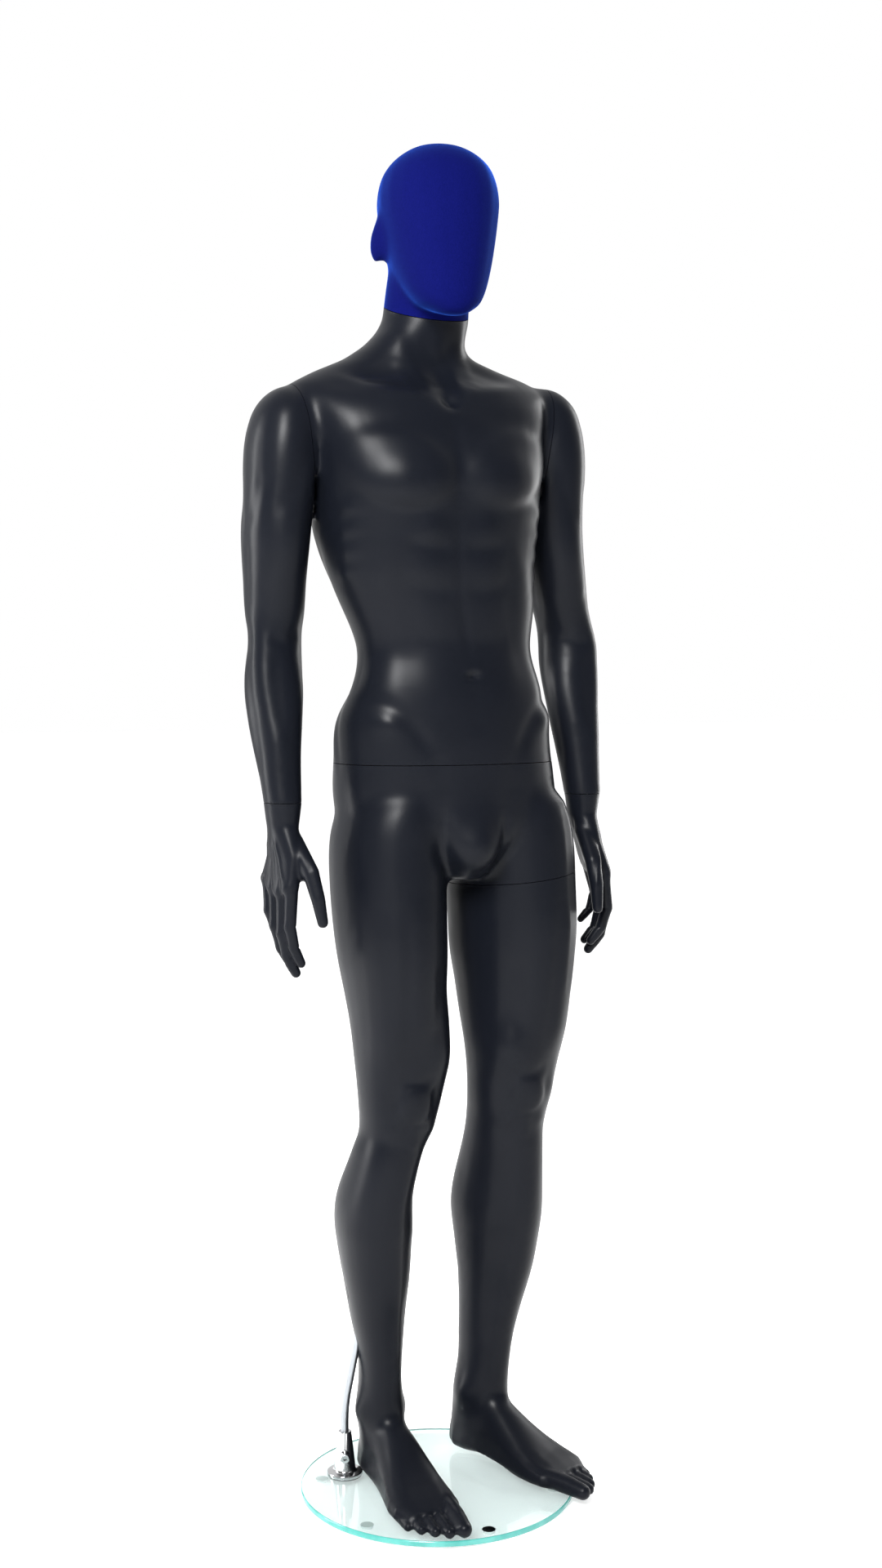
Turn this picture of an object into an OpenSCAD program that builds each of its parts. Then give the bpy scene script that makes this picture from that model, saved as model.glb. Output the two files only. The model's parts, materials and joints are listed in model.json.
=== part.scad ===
// Full body display mannequin on a round glass stand.
// Hollow moulded shells meet at flat seams, and metal fittings behind the seams join them.
// Millimetres, +Z up, the figure faces -Y and its left hand is at +X.
// The origin is on the floor, under the centre of the glass disc.

/* [Stand] */
// Diameter of the glass disc
glass_d = 380; // [360:5:400]
// Thickness of the glass
glass_t = 8; // [6:1:12]
// Height of the rubber pads under the glass
pad_h = 4; // [4:0.5:6]
// Diameter of the steel calf rod
rod_d = 11; // [10:0.5:12]
// Diameter of the clamp flange
flange_d = 50; // [44:1:50]
// Height of the clamp above the glass
clamp_h = 62; // [56:1:66]

/* [Shells] */
// Wall thickness of the moulded shells
wall = 3.5; // [3:0.5:4.5]
// Thickness of the closing plates
plate_t = 6; // [5:0.5:8]
// Gap between two shells at a seam
seam_gap = 0.5; // [0.3:0.1:0.8]
// Gap between a shell and the plate inside it
plate_gap = 0.4; // [0.3:0.1:0.6]

/* [Fittings] */
// Diameter of the shoulder, thigh and neck studs
stud_d = 16; // [14:1:18]
// Diameter of the wrist pins
pin_d = 10; // [8:1:11]
// Side of the square waist spigot
spigot_w = 24; // [20:1:28]
// Radial clearance of a stud in its socket
running = 0.06; // [0.04:0.01:0.09]

/* [Head cover] */
// Thickness of the velvet
velvet_t = 1.3; // [1:0.1:1.8]

/* [Hidden] */

$fn = 48;
eps = 0.01;
right = -1;
left = 1;

// Colours
body_black = "#26272b";
steel = "silver";
fitting = "#b9bcc0";
board = "#8a6f4d";
velvet_blue = "#1c2c9c";
glass_green = [0.72, 0.88, 0.84, 0.45];

// The soles hang just above the glass, because the rod carries the figure
sole_gap = 0.6;
sole_z = pad_h + glass_t + sole_gap;

// Seam heights above the soles
waist_z = 1004.5;
thigh_z = 844.5;
wrist_z = 955.5;
// The thigh seam rises towards the outside
thigh_tilt = 7;
// The neck seam slopes forward
neck_seam = [-4, 27, 1613.5];
neck_tilt = 19;
// The shoulder seams stand almost upright and lean in at the bottom
shoulder_mid = [-17, 20, 1451];
shoulder_reach = 178;
shoulder_tilt = 8;
// How far the plates sit behind the seams
recess = 2.5;

// Calf rod: upright in the clamp, then bent towards the calf
rod_foot = [-108, 75];
rod_bend_z = 112;
rod_lean = 11;
rod_heading = -32;
rod_top_len = 232;
tube_len = 112;
tube_from = 128;
tube_d = rod_d + 7;

// ---- Curves through hand-picked stations --------------------------------------------------

// Index of the stretch of a station list that holds height z
function stretch(list, z, i = 0) =
    (i >= len(list) - 2 || z <= list[i + 1][0]) ? i : stretch(list, z, i + 1);

// Slope at station i, per millimetre of height
function slope(list, i) =
    let (a = max(i - 1, 0), b = min(i + 1, len(list) - 1))
    (list[b] - list[a]) / (list[b][0] - list[a][0]);

// Smooth value of a station list at height z
function at(list, z) =
    let (i = stretch(list, z), a = list[i], b = list[i + 1], h = b[0] - a[0],
         t = (z - a[0]) / h, t2 = t * t, t3 = t2 * t)
    a * (2 * t3 - 3 * t2 + 1) + slope(list, i) * h * (t3 - 2 * t2 + t)
    + b * (3 * t2 - 2 * t3) + slope(list, i + 1) * h * (t3 - t2);

// Levels from a to b, about step apart
function levels(a, b, step) =
    let (n = max(2, ceil((b - a) / step))) [for (i = [0 : n]) a + (b - a) * i / n];

// Oval outline with k points: 2 is an ellipse, more is squarer
function oval(k, w, d, n = 2) =
    [for (i = [0 : k - 1]) let (c = cos(360 * i / k), s = sin(360 * i / k))
        [w * sign(c) * pow(abs(c), 2 / n), d * sign(s) * pow(abs(s), 2 / n)]];

function turned(p, a) = [p[0] * cos(a) - p[1] * sin(a), p[0] * sin(a) + p[1] * cos(a)];

// How far soft muscle forms push point p outwards; each is [centre, radii, height]
function swell(p, forms, i = 0) =
    i >= len(forms) ? 0
    : let (q = p - forms[i][0], r = forms[i][1],
           e = pow(q[0] / r[0], 2) + pow(q[1] / r[1], 2) + pow(q[2] / r[2], 2))
      (e < 5 ? forms[i][2] * exp(-e) : 0) + swell(p, forms, i + 1);

// Solid skinned over rings of equal count, from the lowest up
module loft(rings) {
    n = len(rings[0]);
    m = len(rings);
    polyhedron(
        points = [for (r = rings) each r],
        faces = concat(
            [[for (i = [0 : n - 1]) i]],
            [for (j = [0 : m - 2], i = [0 : n - 1]) let (k = (i + 1) % n)
                [j * n + i, (j + 1) * n + i, (j + 1) * n + k, j * n + k]],
            [[for (i = [n - 1 : -1 : 0]) (m - 1) * n + i]]));
}

// Joins the shapes of one moulding into a single skin
module one_skin() {
    resize([0, 0, 0]) children();
}

// Everything above the glass is measured from the soles
module on_stand() {
    translate([0, 0, sole_z]) children();
}

// ---- Trunk form -----------------------------------------------------------------------------

// Height, middle X, half width, front Y, back Y, squareness
trunk_stations = [
    [1000, 13, 154.5, -98, 112, 2.3],
    [1040, 9, 151, -98, 99, 2.3],
    [1074, 9, 143, -96, 83, 2.3],
    [1098, 8, 134, -93, 75, 2.3],
    [1126, 7, 125, -90, 70, 2.3],
    [1154, 6, 121, -89, 69, 2.3],
    [1182, 3, 126, -91, 71, 2.3],
    [1210, -1, 134, -95, 78, 2.3],
    [1238, -7, 140, -99, 86, 2.3],
    [1262, -12, 143, -102, 92, 2.35],
    [1298, -15, 149, -105, 103, 2.4],
    [1338, -16, 155, -108, 112, 2.4],
    [1372, -17, 159, -110, 117, 2.4],
    [1400, -17, 161, -110, 120, 2.4],
    [1430, -17, 167, -103, 121, 2.4],
    [1458, -17, 176, -92, 118, 2.4],
    [1482, -18, 184, -78, 112, 2.3],
    [1498, -20, 188, -62, 104, 2.2],
    [1508, -25, 184, -48, 98, 2.1],
    [1518, -28, 171, -37, 93, 2.1],
    [1532, -31, 135, -28, 90, 2],
    [1546, -31, 98, -25, 87, 2],
    [1558, -27, 78, -25, 86, 2],
    [1578, -14, 65, -28, 86, 2],
    [1603, -4, 59, -31, 87, 2],
    [1628, -3, 58, -34, 86, 2],
    [1660, -3, 58, -38, 82, 2],
];
// How far the shoulder line rises towards the left, per millimetre across
shoulder_roll = 0.05;
function roll(z) = shoulder_roll * max(0, min(1, (z - 1340) / 140)) * max(0, min(1, (1600 - z) / 50));

// Muscle forms of the trunk: centre, radii, height
trunk_forms = concat(
    [for (s = [right, left]) each [
        // chest
        [[-17 + 62 * s, -108, 1375], [58, 60, 40], 10],
        // shoulder blade
        [[-17 + 78 * s, 118, 1400], [50, 40, 70], 9],
        // lats
        [[-15 + 150 * s, 25, 1330], [40, 60, 70], 5],
        // trapezius
        [[-17 + 40 * s, 100, 1500], [50, 50, 50], 6],
        // flank above the hip
        [[6 + 130 * s, 5, 1068], [40, 70, 26], 5],
        // collar bone
        [[-15 + 80 * s, -62, 1494], [60, 26, 14], 5]]],
    [
        // belly
        [[0, -95, 1120], [60, 40, 70], 4],
        // hollow of the spine
        [[0, 90, 1220], [24, 40, 170], -7],
        // hollow between the chest muscles
        [[-14, -112, 1365], [12, 40, 50], -5],
        // pit of the neck
        [[-12, -50, 1492], [20, 30, 20], -9],
    ]);

function trunk_ring(z, k, inset = 0, forms = []) =
    let (s = at(trunk_stations, z), mid = (s[3] + s[4]) / 2, d = (s[4] - s[3]) / 2)
    [for (q = oval(k, s[2] - inset, d - inset, s[5]))
        let (p = [s[1] + q[0], mid + q[1], z], out = swell(p, forms) / norm(q))
        [p[0] + q[0] * out, p[1] + q[1] * out, z + roll(z) * q[0]]];

module trunk_solid() {
    loft([for (z = levels(1000, 1655, 18)) trunk_ring(z, 32, 0, trunk_forms)]);
}

module trunk_hollow() {
    loft([for (z = levels(1001, 1470, 60)) trunk_ring(z, 18, wall + 4)]);
    loft([for (z = levels(1450, 1654, 34)) trunk_ring(z, 18, wall + (z < 1560 ? 28 : 6))]);
}

// ---- Hips and legs --------------------------------------------------------------------------

// Height, middle X, half width, front Y, back Y, squareness
pelvis_stations = [
    [838, 20, 14, -40, 30, 2],
    [847, 20, 32, -70, 60, 2],
    [861, 20, 48, -84, 90, 2],
    [881, 20, 76, -92, 108, 2.1],
    [905, 20, 120, -96, 116, 2.2],
    [925, 19, 150, -98, 118, 2.2],
    [941, 18, 156.5, -98, 118, 2.2],
    [967, 15.5, 157, -98, 116, 2.3],
    [1006, 13, 154.5, -98, 112, 2.3],
];

pelvis_forms = concat(
    [for (s = [right, left]) each [
        // seat
        [[18 + 66 * s, 108, 905], [58, 50, 60], 15],
        // hip
        [[18 + 150 * s, 5, 900], [40, 60, 60], 3]]],
    [
        [[16, -100, 889], [27, 40, 27], 15],
        // cleft of the seat
        [[18, 116, 900], [12, 50, 70], -12],
    ]);

// Height, half width, half depth of a leg, from the ankle up
leg_sections = [
    [20, 27, 40],
    [50, 29, 42],
    [78, 30, 43],
    [98, 31.5, 44],
    [116, 30.5, 44],
    [138, 28, 43.5],
    [160, 28.5, 43],
    [184, 30.5, 44],
    [228, 36.5, 49],
    [272, 42.5, 57],
    [296, 45.5, 61],
    [340, 49.5, 66],
    [362, 51, 68],
    [385, 50, 68],
    [408, 47.5, 67],
    [452, 46, 63],
    [475, 46.5, 60],
    [498, 48.5, 57],
    [520, 52, 57.5],
    [541, 55.5, 59],
    [572, 59.5, 61],
    [608, 63.5, 66],
    [652, 66, 76],
    [698, 67.5, 84],
    [742, 72, 91],
    [788, 74.5, 95],
    [838, 76, 98],
    [888, 77, 99],
    [928, 75, 98],
    [962, 66, 90],
    [988, 44, 64],
];

// Height, middle X, middle Y of each leg
right_leg_line = [
    [20, -60, 54], [98, -62, 57], [138, -62.7, 55], [184, -64.7, 53], [228, -68.6, 50],
    [272, -72.2, 45], [318, -76.3, 41], [362, -80.5, 34], [385, -81.5, 30], [408, -81, 25],
    [452, -74, 14], [475, -69, 9], [498, -61, 5], [541, -57, 0], [608, -55, 0],
    [652, -57, 0], [698, -63.5, 0], [742, -67.5, 0], [788, -70.5, 1], [838, -72, 3],
    [888, -71, 5], [928, -67, 5], [962, -60, 5], [988, -52, 5],
];
left_leg_line = [
    [20, 90, 62], [98, 95, 58], [138, 98.5, 54], [184, 102, 53], [228, 106, 48], [272, 109, 42],
    [318, 110, 37], [362, 109, 30], [408, 108, 22], [452, 106.5, 12], [475, 105.5, 6],
    [498, 106, 3], [541, 109, -4], [572, 111.5, -4], [608, 113, -4], [652, 114.5, -2],
    [698, 114, -2], [742, 113.5, 0], [788, 114, 0], [838, 112, 2], [888, 110, 4],
    [928, 105, 5], [962, 97, 5], [988, 88, 5],
];
// How far each foot points outwards
function toe_out(side) = side == right ? -3 : 24.6;
function leg_line(side) = side == right ? right_leg_line : left_leg_line;

// Leg muscles in a frame where the leg faces -Y: centre from the leg's middle line, radii, height
function leg_forms(side) = [
    // calf, two heads
    [[-20 * side, 58, 385], [30, 40, 60], 6],
    [[24 * side, 56, 398], [26, 40, 55], 5],
    // shin edge
    [[-8 * side, -50, 340], [14, 40, 110], 3],
    // kneecap
    [[0, -58, 545], [26, 30, 24], 6],
    // inner and outer thigh above the knee
    [[-34 * side, -44, 600], [26, 36, 36], 6],
    [[36 * side, -40, 625], [28, 40, 48], 4],
    // front of the thigh
    [[4 * side, -84, 720], [50, 50, 120], 6],
    // back of the thigh
    [[0, 84, 700], [50, 50, 110], 4],
    // ankle bones
    [[-30 * side, 0, 100], [16, 20, 16], 2.5],
    [[30 * side, 6, 90], [16, 20, 16], 3],
];

function leg_ring(side, z, k, inset = 0, forms = []) =
    let (s = at(leg_sections, z), m = at(leg_line(side), z))
    [for (q = oval(k, s[1] - inset, s[2] - inset, 2.1))
        let (out = swell([q[0], q[1], z], forms) / norm(q), t = turned(q * (1 + out), toe_out(side)))
        [m[1] + t[0], m[2] + t[1], z]];

module leg_solid(side, top) {
    loft([for (z = levels(side == right ? 26 : 40, top, 20)) leg_ring(side, z, 20, 0, leg_forms(side))]);
    foot_solid(side);
}

module leg_hollow(side, top) {
    loft([for (z = levels(170, top, 52)) leg_ring(side, z, 14, wall + 3)]);
}

// Distance from the heel, half width, height of the top, shift towards the big toe
foot_stations = [
    [0, 12, 40, 0],
    [5, 21, 54, 0],
    [14, 26, 64, 0.5],
    [35, 30, 78, 1],
    [62, 31, 92, 2],
    [90, 33.5, 92, 3.5],
    [115, 37, 78, 4],
    [140, 41, 62, 4],
    [165, 45, 48, 3],
    [190, 48, 37, 2],
    [212, 46, 29, 3],
    [226, 36, 23, 5],
];
foot_back = 46;
ball = 190;
// How far each heel is tipped up about the ball of the foot
function heel_pitch(side) = side == right ? 0 : 3;

// Toes: distance from the heel and side place of the root, length, radius at root and tip
toes = [
    [202, 29, 77, 13.5, 11],
    [208, 8, 65, 9.5, 8],
    [205, -9, 57, 9, 7.5],
    [198, -24, 50, 8.5, 7],
    [188, -37, 44, 8, 6.5],
];

function foot_ring(u, k, pitch) =
    let (s = at(foot_stations, u), mid = min(14, s[2] / 2),
         a = pitch * max(0, min(1, (ball + 15 - u) / 50)), back = ball - u)
    [for (q = oval(k, s[1], 1, 2.5))
        let (h = q[1] < 0 ? mid + mid * q[1] : mid + (s[2] - mid) * q[1])
        [s[3] + q[0], h * cos(a) + back * sin(a), ball - back * cos(a) + h * sin(a)]];

// Foot in a frame with X towards the big toe and the toes along -Y, heel at the origin
module foot_form(pitch) {
    rotate([90, 0, 0])
        loft([for (u = levels(0, 226, 21)) foot_ring(u, 16, pitch)]);
    for (t = toes)
        translate([t[1] + 3, -t[0], 0])
            rotate([0, 0, -t[1] * 0.08])
                hull() {
                    translate([0, 0, t[3] + 3]) sphere(r = t[3], $fn = 10);
                    translate([0, -t[2] * 0.5, t[3] + 1]) sphere(r = t[3] - 0.5, $fn = 10);
                    translate([0, -t[2] * 0.86, t[4]]) sphere(r = t[4], $fn = 10);
                }
}

module foot_solid(side) {
    heel = at(leg_line(side), 50);
    translate([heel[1], heel[2], 0])
        rotate([0, 0, toe_out(side)])
            scale([-side, side == right ? 1.045 : 0.95, 1])
                translate([0, foot_back, 0])
                    intersection() {
                        foot_form(heel_pitch(side));
                        translate([-100, -300, 0]) cube([200, 320, 200]);
                    }
}

// ---- Arms -----------------------------------------------------------------------------------

// Height, half width, half depth, turn of an arm's section
arm_sections = [
    [940, 24, 26.5, 0],
    [962, 25, 28, 0],
    [988, 27, 30, 0],
    [1018, 29.5, 33, 5],
    [1048, 32.5, 36, 10],
    [1083, 34, 37, 20],
    [1112, 36.5, 36, 35],
    [1138, 39.5, 35, 45],
    [1162, 41, 34, 48],
    [1183, 39.5, 35, 45],
    [1208, 39, 40, 20],
    [1243, 40.5, 45.5, 0],
    [1278, 42.5, 49, 0],
    [1313, 44.5, 52.5, 0],
    [1348, 46.5, 55.5, 0],
    [1388, 48.5, 58, 0],
    [1428, 48.5, 58, 0],
    [1458, 46.5, 55.5, 0],
    [1480, 42, 50, 0],
    [1494, 35, 41, 0],
    [1504, 26, 30, 0],
    [1511, 13, 15, 0],
];
// Height, distance out from the shoulder middle, Y of each arm
right_arm_line = [
    [940, 207, -1], [962, 207, 2], [1018, 208, 14], [1078, 207.5, 29], [1138, 203, 40],
    [1162, 201.5, 42], [1183, 202, 41], [1243, 205, 33], [1313, 206, 24], [1378, 200, 20],
    [1428, 197, 20], [1483, 190, 22], [1515, 182, 24],
];
left_arm_line = [
    [940, 245, -1], [962, 244, 2], [1018, 243.5, 14], [1078, 242.5, 29], [1138, 240, 40],
    [1162, 240, 42], [1183, 237, 41], [1243, 219, 33], [1313, 201, 24], [1378, 197.5, 20],
    [1428, 196, 20], [1483, 190, 22], [1515, 182, 24],
];
function arm_line(side) = side == right ? right_arm_line : left_arm_line;

function arm_forms(side) = [
    // front and back of the upper arm
    [[0, -52, 1290], [34, 36, 50], 5],
    [[0, 54, 1310], [34, 36, 60], 4],
    // forearm
    [[28 * side, -20, 1110], [26, 40, 45], 4],
    [[-26 * side, -14, 1095], [26, 40, 40], 3],
    // elbow
    [[0, 44, 1160], [18, 20, 20], 4],
];

function arm_ring(side, z, k, inset = 0, forms = []) =
    let (s = at(arm_sections, z), m = at(arm_line(side), z), rise = side * m[1] * roll(min(z, 1480)))
    [for (q = oval(k, s[1] - inset, s[2] - inset, 2.1))
        let (t = turned(q, -side * s[3]), out = swell([t[0], t[1], z], forms) / norm(q))
        [shoulder_mid[0] + side * m[1] + t[0] * (1 + out), m[2] + t[1] * (1 + out), z + rise]];

module arm_solid(side, bottom) {
    loft([for (z = concat(levels(bottom, 1470, 21), [1480, 1489, 1497, 1504, 1509, 1511]))
        arm_ring(side, z, 18, 0, arm_forms(side))]);
}

module arm_hollow(side) {
    loft([for (z = levels(wrist_z + 22, 1470, 62)) arm_ring(side, z, 12, wall + 3)]);
}

// Frame of a shoulder seam: Z out of the torso, X upwards, origin in the seam
module at_shoulder(side) {
    rise = side * shoulder_reach * shoulder_roll;
    translate([shoulder_mid[0] + side * shoulder_reach, shoulder_mid[1], shoulder_mid[2] + rise])
        rotate([0, side * (90 + shoulder_tilt), 0])
            rotate([0, 0, side == left ? 180 : 0])
                children();
}

// Frame of the neck seam
module at_neck() {
    translate(neck_seam) rotate([neck_tilt, 0, 0]) children();
}

// Frame of a wrist seam
module at_wrist(side) {
    m = at(arm_line(side), wrist_z);
    translate([shoulder_mid[0] + side * m[1], m[2], wrist_z]) children();
}

// Frame of the thigh seam
module at_thigh() {
    m = at(left_leg_line, thigh_z);
    translate([m[1], m[2], thigh_z]) rotate([0, -thigh_tilt, 0]) rotate([0, 0, toe_out(left)]) children();
}

// Frame of the waist seam
module at_waist() {
    translate([13, 6, waist_z]) children();
}

// Frame of the upper rod: origin at the bend, Z along the slanted part
module at_rod() {
    translate([rod_foot[0], rod_foot[1], rod_bend_z - sole_z])
        rotate([0, 0, rod_heading])
            rotate([0, rod_lean, 0])
                children();
}

// ---- Plates and fittings ---------------------------------------------------------------------

shoulder_oval = [46, 48];
neck_oval = [49, 52];
wrist_oval = [19, 21];

function thigh_oval(inset) = let (s = at(leg_sections, thigh_z)) oval(20, s[1] - inset, s[2] - inset, 2.1);
function waist_oval(inset) =
    let (s = at(trunk_stations, waist_z), d = (s[4] - s[3]) / 2) oval(32, s[2] - inset, d - inset, s[5]);

// Flat plate behind a seam: side +1 above the seam plane, -1 below it
module closing_plate(outline, up, hole_r = 0, hole_w = 0) {
    low = up > 0 ? recess : -recess - plate_t;
    difference() {
        translate([0, 0, low]) linear_extrude(plate_t) polygon(outline);
        if (hole_r > 0) translate([0, 0, low - 1]) cylinder(r = hole_r, h = plate_t + 2);
        if (hole_w > 0)
            translate([-hole_w / 2, -hole_w / 2, low - 1]) cube([hole_w, hole_w, plate_t + 2]);
        children();
    }
}

// Pocket that a closing plate sits in
module plate_pocket(outline, up) {
    depth = recess + plate_t + 1;
    translate([0, 0, up > 0 ? -1 : -depth]) linear_extrude(depth + 1) polygon(outline);
}

// Pattern of small wood screws with round heads; z is the face under the heads
screw_r = 1.9;
module around(pcd_r, count, start = 45) {
    for (i = [0 : count - 1]) rotate([0, 0, start + 360 * i / count]) translate([pcd_r, 0, 0]) children();
}
module screws(pcd_r, count, z, up) {
    around(pcd_r, count)
        translate([0, 0, z])
            rotate([up > 0 ? 0 : 180, 0, 0])
                union() {
                    cylinder(r = 3.6, h = 1.6);
                    translate([0, 0, -7]) cylinder(r = screw_r, h = 7 + eps);
                }
}
module screw_holes(pcd_r, count, z, up) {
    around(pcd_r, count) translate([0, 0, up > 0 ? z - 7.5 : z - 1]) cylinder(r = screw_r + 0.1, h = 8.5);
}

// Round stud on a flange; the flange lies on a plate whose face is at -recess
stud_flange_t = 1.2;
module round_stud(r, length, flange_r, pcd_r, count) {
    difference() {
        translate([0, 0, -recess])
            rotate_extrude()
                polygon([[0, 0], [flange_r, 0], [flange_r, stud_flange_t], [r, stud_flange_t],
                         [r, length - 3], [r - 2, length], [0, length]]);
        screw_holes(pcd_r, count, -recess + stud_flange_t, 1);
    }
}

// Round socket on a flange; the flange lies on the inner face of the plate
module round_socket(r, length, flange_r, pcd_r, count) {
    z = recess + plate_t;
    difference() {
        translate([0, 0, z])
            rotate_extrude()
                polygon([[r + running, 0], [flange_r, 0], [flange_r, 3], [r + 4, 3],
                         [r + 4, length], [r + running, length]]);
        screw_holes(pcd_r, count, z + 3, 1);
    }
}

// ---- Stand ----------------------------------------------------------------------------------

module glass_base() color(glass_green) {
    translate([0, 0, pad_h])
        difference() {
            rotate_extrude($fn = 120)
                polygon([[0, 0], [glass_d / 2 - 1, 0], [glass_d / 2, 1], [glass_d / 2, glass_t - 1],
                         [glass_d / 2 - 1, glass_t], [0, glass_t]]);
            translate([rod_foot[0], rod_foot[1], -1]) cylinder(r = 6, h = glass_t + 2);
        }
}

module base_pads() color("#d8dcda") {
    around(glass_d / 2 - 28, 6, 30) cylinder(r1 = 7.5, r2 = 9, h = pad_h);
}

// Height of the underside of the clamp
clamp_z = pad_h + glass_t + 1;
flange_t = 6;
clamp_screw_z = clamp_z + 31;
clamp_heading = -112;
clamp_top_r = rod_d / 2 + 4;

module at_clamp(z) {
    translate([rod_foot[0], rod_foot[1], z]) rotate([0, 0, clamp_heading]) children();
}

module rod_clamp() color(steel) {
    at_clamp(clamp_z)
        difference() {
            union() {
                rotate_extrude()
                    polygon([[0, 0], [flange_d / 2, 0], [flange_d / 2, flange_t - 2],
                             [flange_d / 2 - 2, flange_t], [16, flange_t], [clamp_top_r, clamp_h - 1],
                             [clamp_top_r - 1, clamp_h], [0, clamp_h]]);
                translate([10, 0, 31]) rotate([0, 90, 0]) cylinder(r = 6.5, h = 8);
            }
            translate([0, 0, 12]) cylinder(r = rod_d / 2 + running, h = clamp_h);
            translate([0, 0, -1]) cylinder(r = 4.1, h = 11);
            translate([rod_d / 2 - 1, 0, 31]) rotate([0, 90, 0]) cylinder(r = 3.1, h = 20);
        }
}

module flange_gasket() color("#2b2b2b") {
    at_clamp(pad_h + glass_t)
        difference() {
            cylinder(r = flange_d / 2 - 1, h = 1);
            translate([0, 0, -1]) cylinder(r = 4.6, h = 3);
        }
}

module base_washer() color(steel) {
    at_clamp(pad_h - 1)
        difference() {
            cylinder(r = 11, h = 1);
            translate([0, 0, -1]) cylinder(r = 4.3, h = 3);
        }
}

module base_bolt() color(steel) {
    at_clamp(0) {
        translate([0, 0, 0.8]) cylinder(r = 7.5, h = pad_h - 1.8, $fn = 6);
        translate([0, 0, 0.9]) cylinder(r = 4, h = clamp_z + 8);
    }
}

module clamp_screw() color(steel) {
    at_clamp(clamp_screw_z)
        rotate([0, 90, 0]) {
            translate([0, 0, rod_d / 2 + 0.3]) cylinder(r = 3, h = 15);
            translate([0, 0, 18.5])
                rotate_extrude()
                    polygon([[0, 0], [6, 0], [7, 1], [7, 5], [6, 6.5], [0, 7]]);
        }
}

module calf_rod() color(fitting) {
    z0 = clamp_z + 12.5;
    translate([rod_foot[0], rod_foot[1], z0]) {
        cylinder(d = rod_d, h = rod_bend_z - z0);
        translate([0, 0, rod_bend_z - z0]) {
            // the bend
            sphere(r = rod_d / 2 + 0.1);
            rotate([0, 0, rod_heading])
                rotate([0, rod_lean, 0])
                    rotate_extrude()
                        polygon([[0, 0], [rod_d / 2, 0], [rod_d / 2, rod_top_len - 2],
                                 [rod_d / 2 - 2, rod_top_len], [0, rod_top_len]]);
        }
    }
}

// ---- Lower body ------------------------------------------------------------------------------

function pelvis_ring(z, k, inset = 0, forms = []) =
    let (s = at(pelvis_stations, z), mid = (s[3] + s[4]) / 2, d = (s[4] - s[3]) / 2)
    [for (q = oval(k, s[2] - inset, d - inset, s[5]))
        let (p = [s[1] + q[0], mid + q[1], z], out = swell(p, forms) / norm(q))
        [p[0] + q[0] * out, p[1] + q[1] * out, z]];

module below_waist() {
    translate([-300, -300, -10]) cube([600, 600, waist_z - seam_gap / 2 + 10]);
}

module lower_body_shell() color(body_black) {
    on_stand() one_skin()
        difference() {
            intersection() {
                union() {
                    loft([for (z = levels(848, 1006, 17)) pelvis_ring(z, 32, 0, pelvis_forms)]);
                    leg_solid(right, 988);
                    intersection() {
                        loft([for (z = levels(thigh_z - 16, 988, 20))
                            leg_ring(left, z, 20, 0, leg_forms(left))]);
                        at_thigh() translate([-200, -200, seam_gap / 2]) cube(400);
                    }
                }
                below_waist();
            }
            loft([for (z = levels(890, 1005.5, 30)) pelvis_ring(z, 20, wall + 3)]);
            leg_hollow(right, 950);
            loft([for (z = levels(thigh_z - 2, 950, 40)) leg_ring(left, z, 14, wall + 3)]);
            at_waist() plate_pocket(waist_oval(wall), -1);
            at_thigh() plate_pocket(thigh_oval(wall), 1);
            at_rod() cylinder(d = tube_d + 3, h = tube_from + 60);
            // slot in the outside of the calf
            translate([-120, 50.2, 259]) cube([9, 1.6, 19]);
        }
}

module pelvis_plate() color(board) {
    on_stand() at_waist()
        closing_plate(waist_oval(wall + plate_gap), -1)
            screw_holes(27, 4, -recess + stud_flange_t, 1);
}

spigot_len = 62;
module waist_spigot() color(fitting) {
    on_stand() at_waist()
        difference() {
            union() {
                translate([0, 0, -recess]) cylinder(r = 34, h = stud_flange_t);
                translate([-spigot_w / 2, -spigot_w / 2, -recess]) cube([spigot_w, spigot_w, spigot_len]);
            }
            translate([-spigot_w / 2 + 2.5, -spigot_w / 2 + 2.5, -recess + 3])
                cube([spigot_w - 5, spigot_w - 5, spigot_len]);
            screw_holes(27, 4, -recess + stud_flange_t, 1);
        }
}

module waist_spigot_screws() color(steel) {
    on_stand() at_waist() screws(27, 4, -recess + stud_flange_t, 1);
}

module calf_socket_tube() color(fitting) {
    on_stand() at_rod()
        translate([0, 0, tube_from])
            difference() {
                cylinder(d = tube_d, h = tube_len);
                translate([0, 0, -1]) cylinder(r = rod_d / 2 + running, h = rod_top_len - tube_from + 1);
            }
}

module calf_collars() color(board) {
    on_stand() at_rod()
        for (z = [tube_from + 52, tube_from + 92])
            translate([0, 0, z])
                difference() {
                    cylinder(r = 21, h = 14);
                    translate([0, 0, -1]) cylinder(d = tube_d + 0.1, h = 16);
                }
}

module hip_plate() color(board) {
    on_stand() at_thigh()
        closing_plate(thigh_oval(wall + plate_gap), 1)
            rotate([180, 0, 0]) screw_holes(17, 3, -recess + stud_flange_t, 1);
}

module thigh_stud() color(fitting) {
    on_stand() at_thigh() rotate([180, 0, 0]) round_stud(stud_d / 2, 46, 23, 17, 3);
}

module thigh_stud_screws() color(steel) {
    on_stand() at_thigh() rotate([180, 0, 0]) screws(17, 3, -recess + stud_flange_t, 1);
}

// ---- Left leg --------------------------------------------------------------------------------

module left_leg_shell() color(body_black) {
    on_stand() one_skin()
        difference() {
            intersection() {
                leg_solid(left, thigh_z + 16);
                at_thigh() translate([-500, -500, -1000 - seam_gap / 2]) cube(1000);
            }
            leg_hollow(left, thigh_z + 2);
            at_thigh() plate_pocket(thigh_oval(wall), -1);
        }
}

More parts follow.
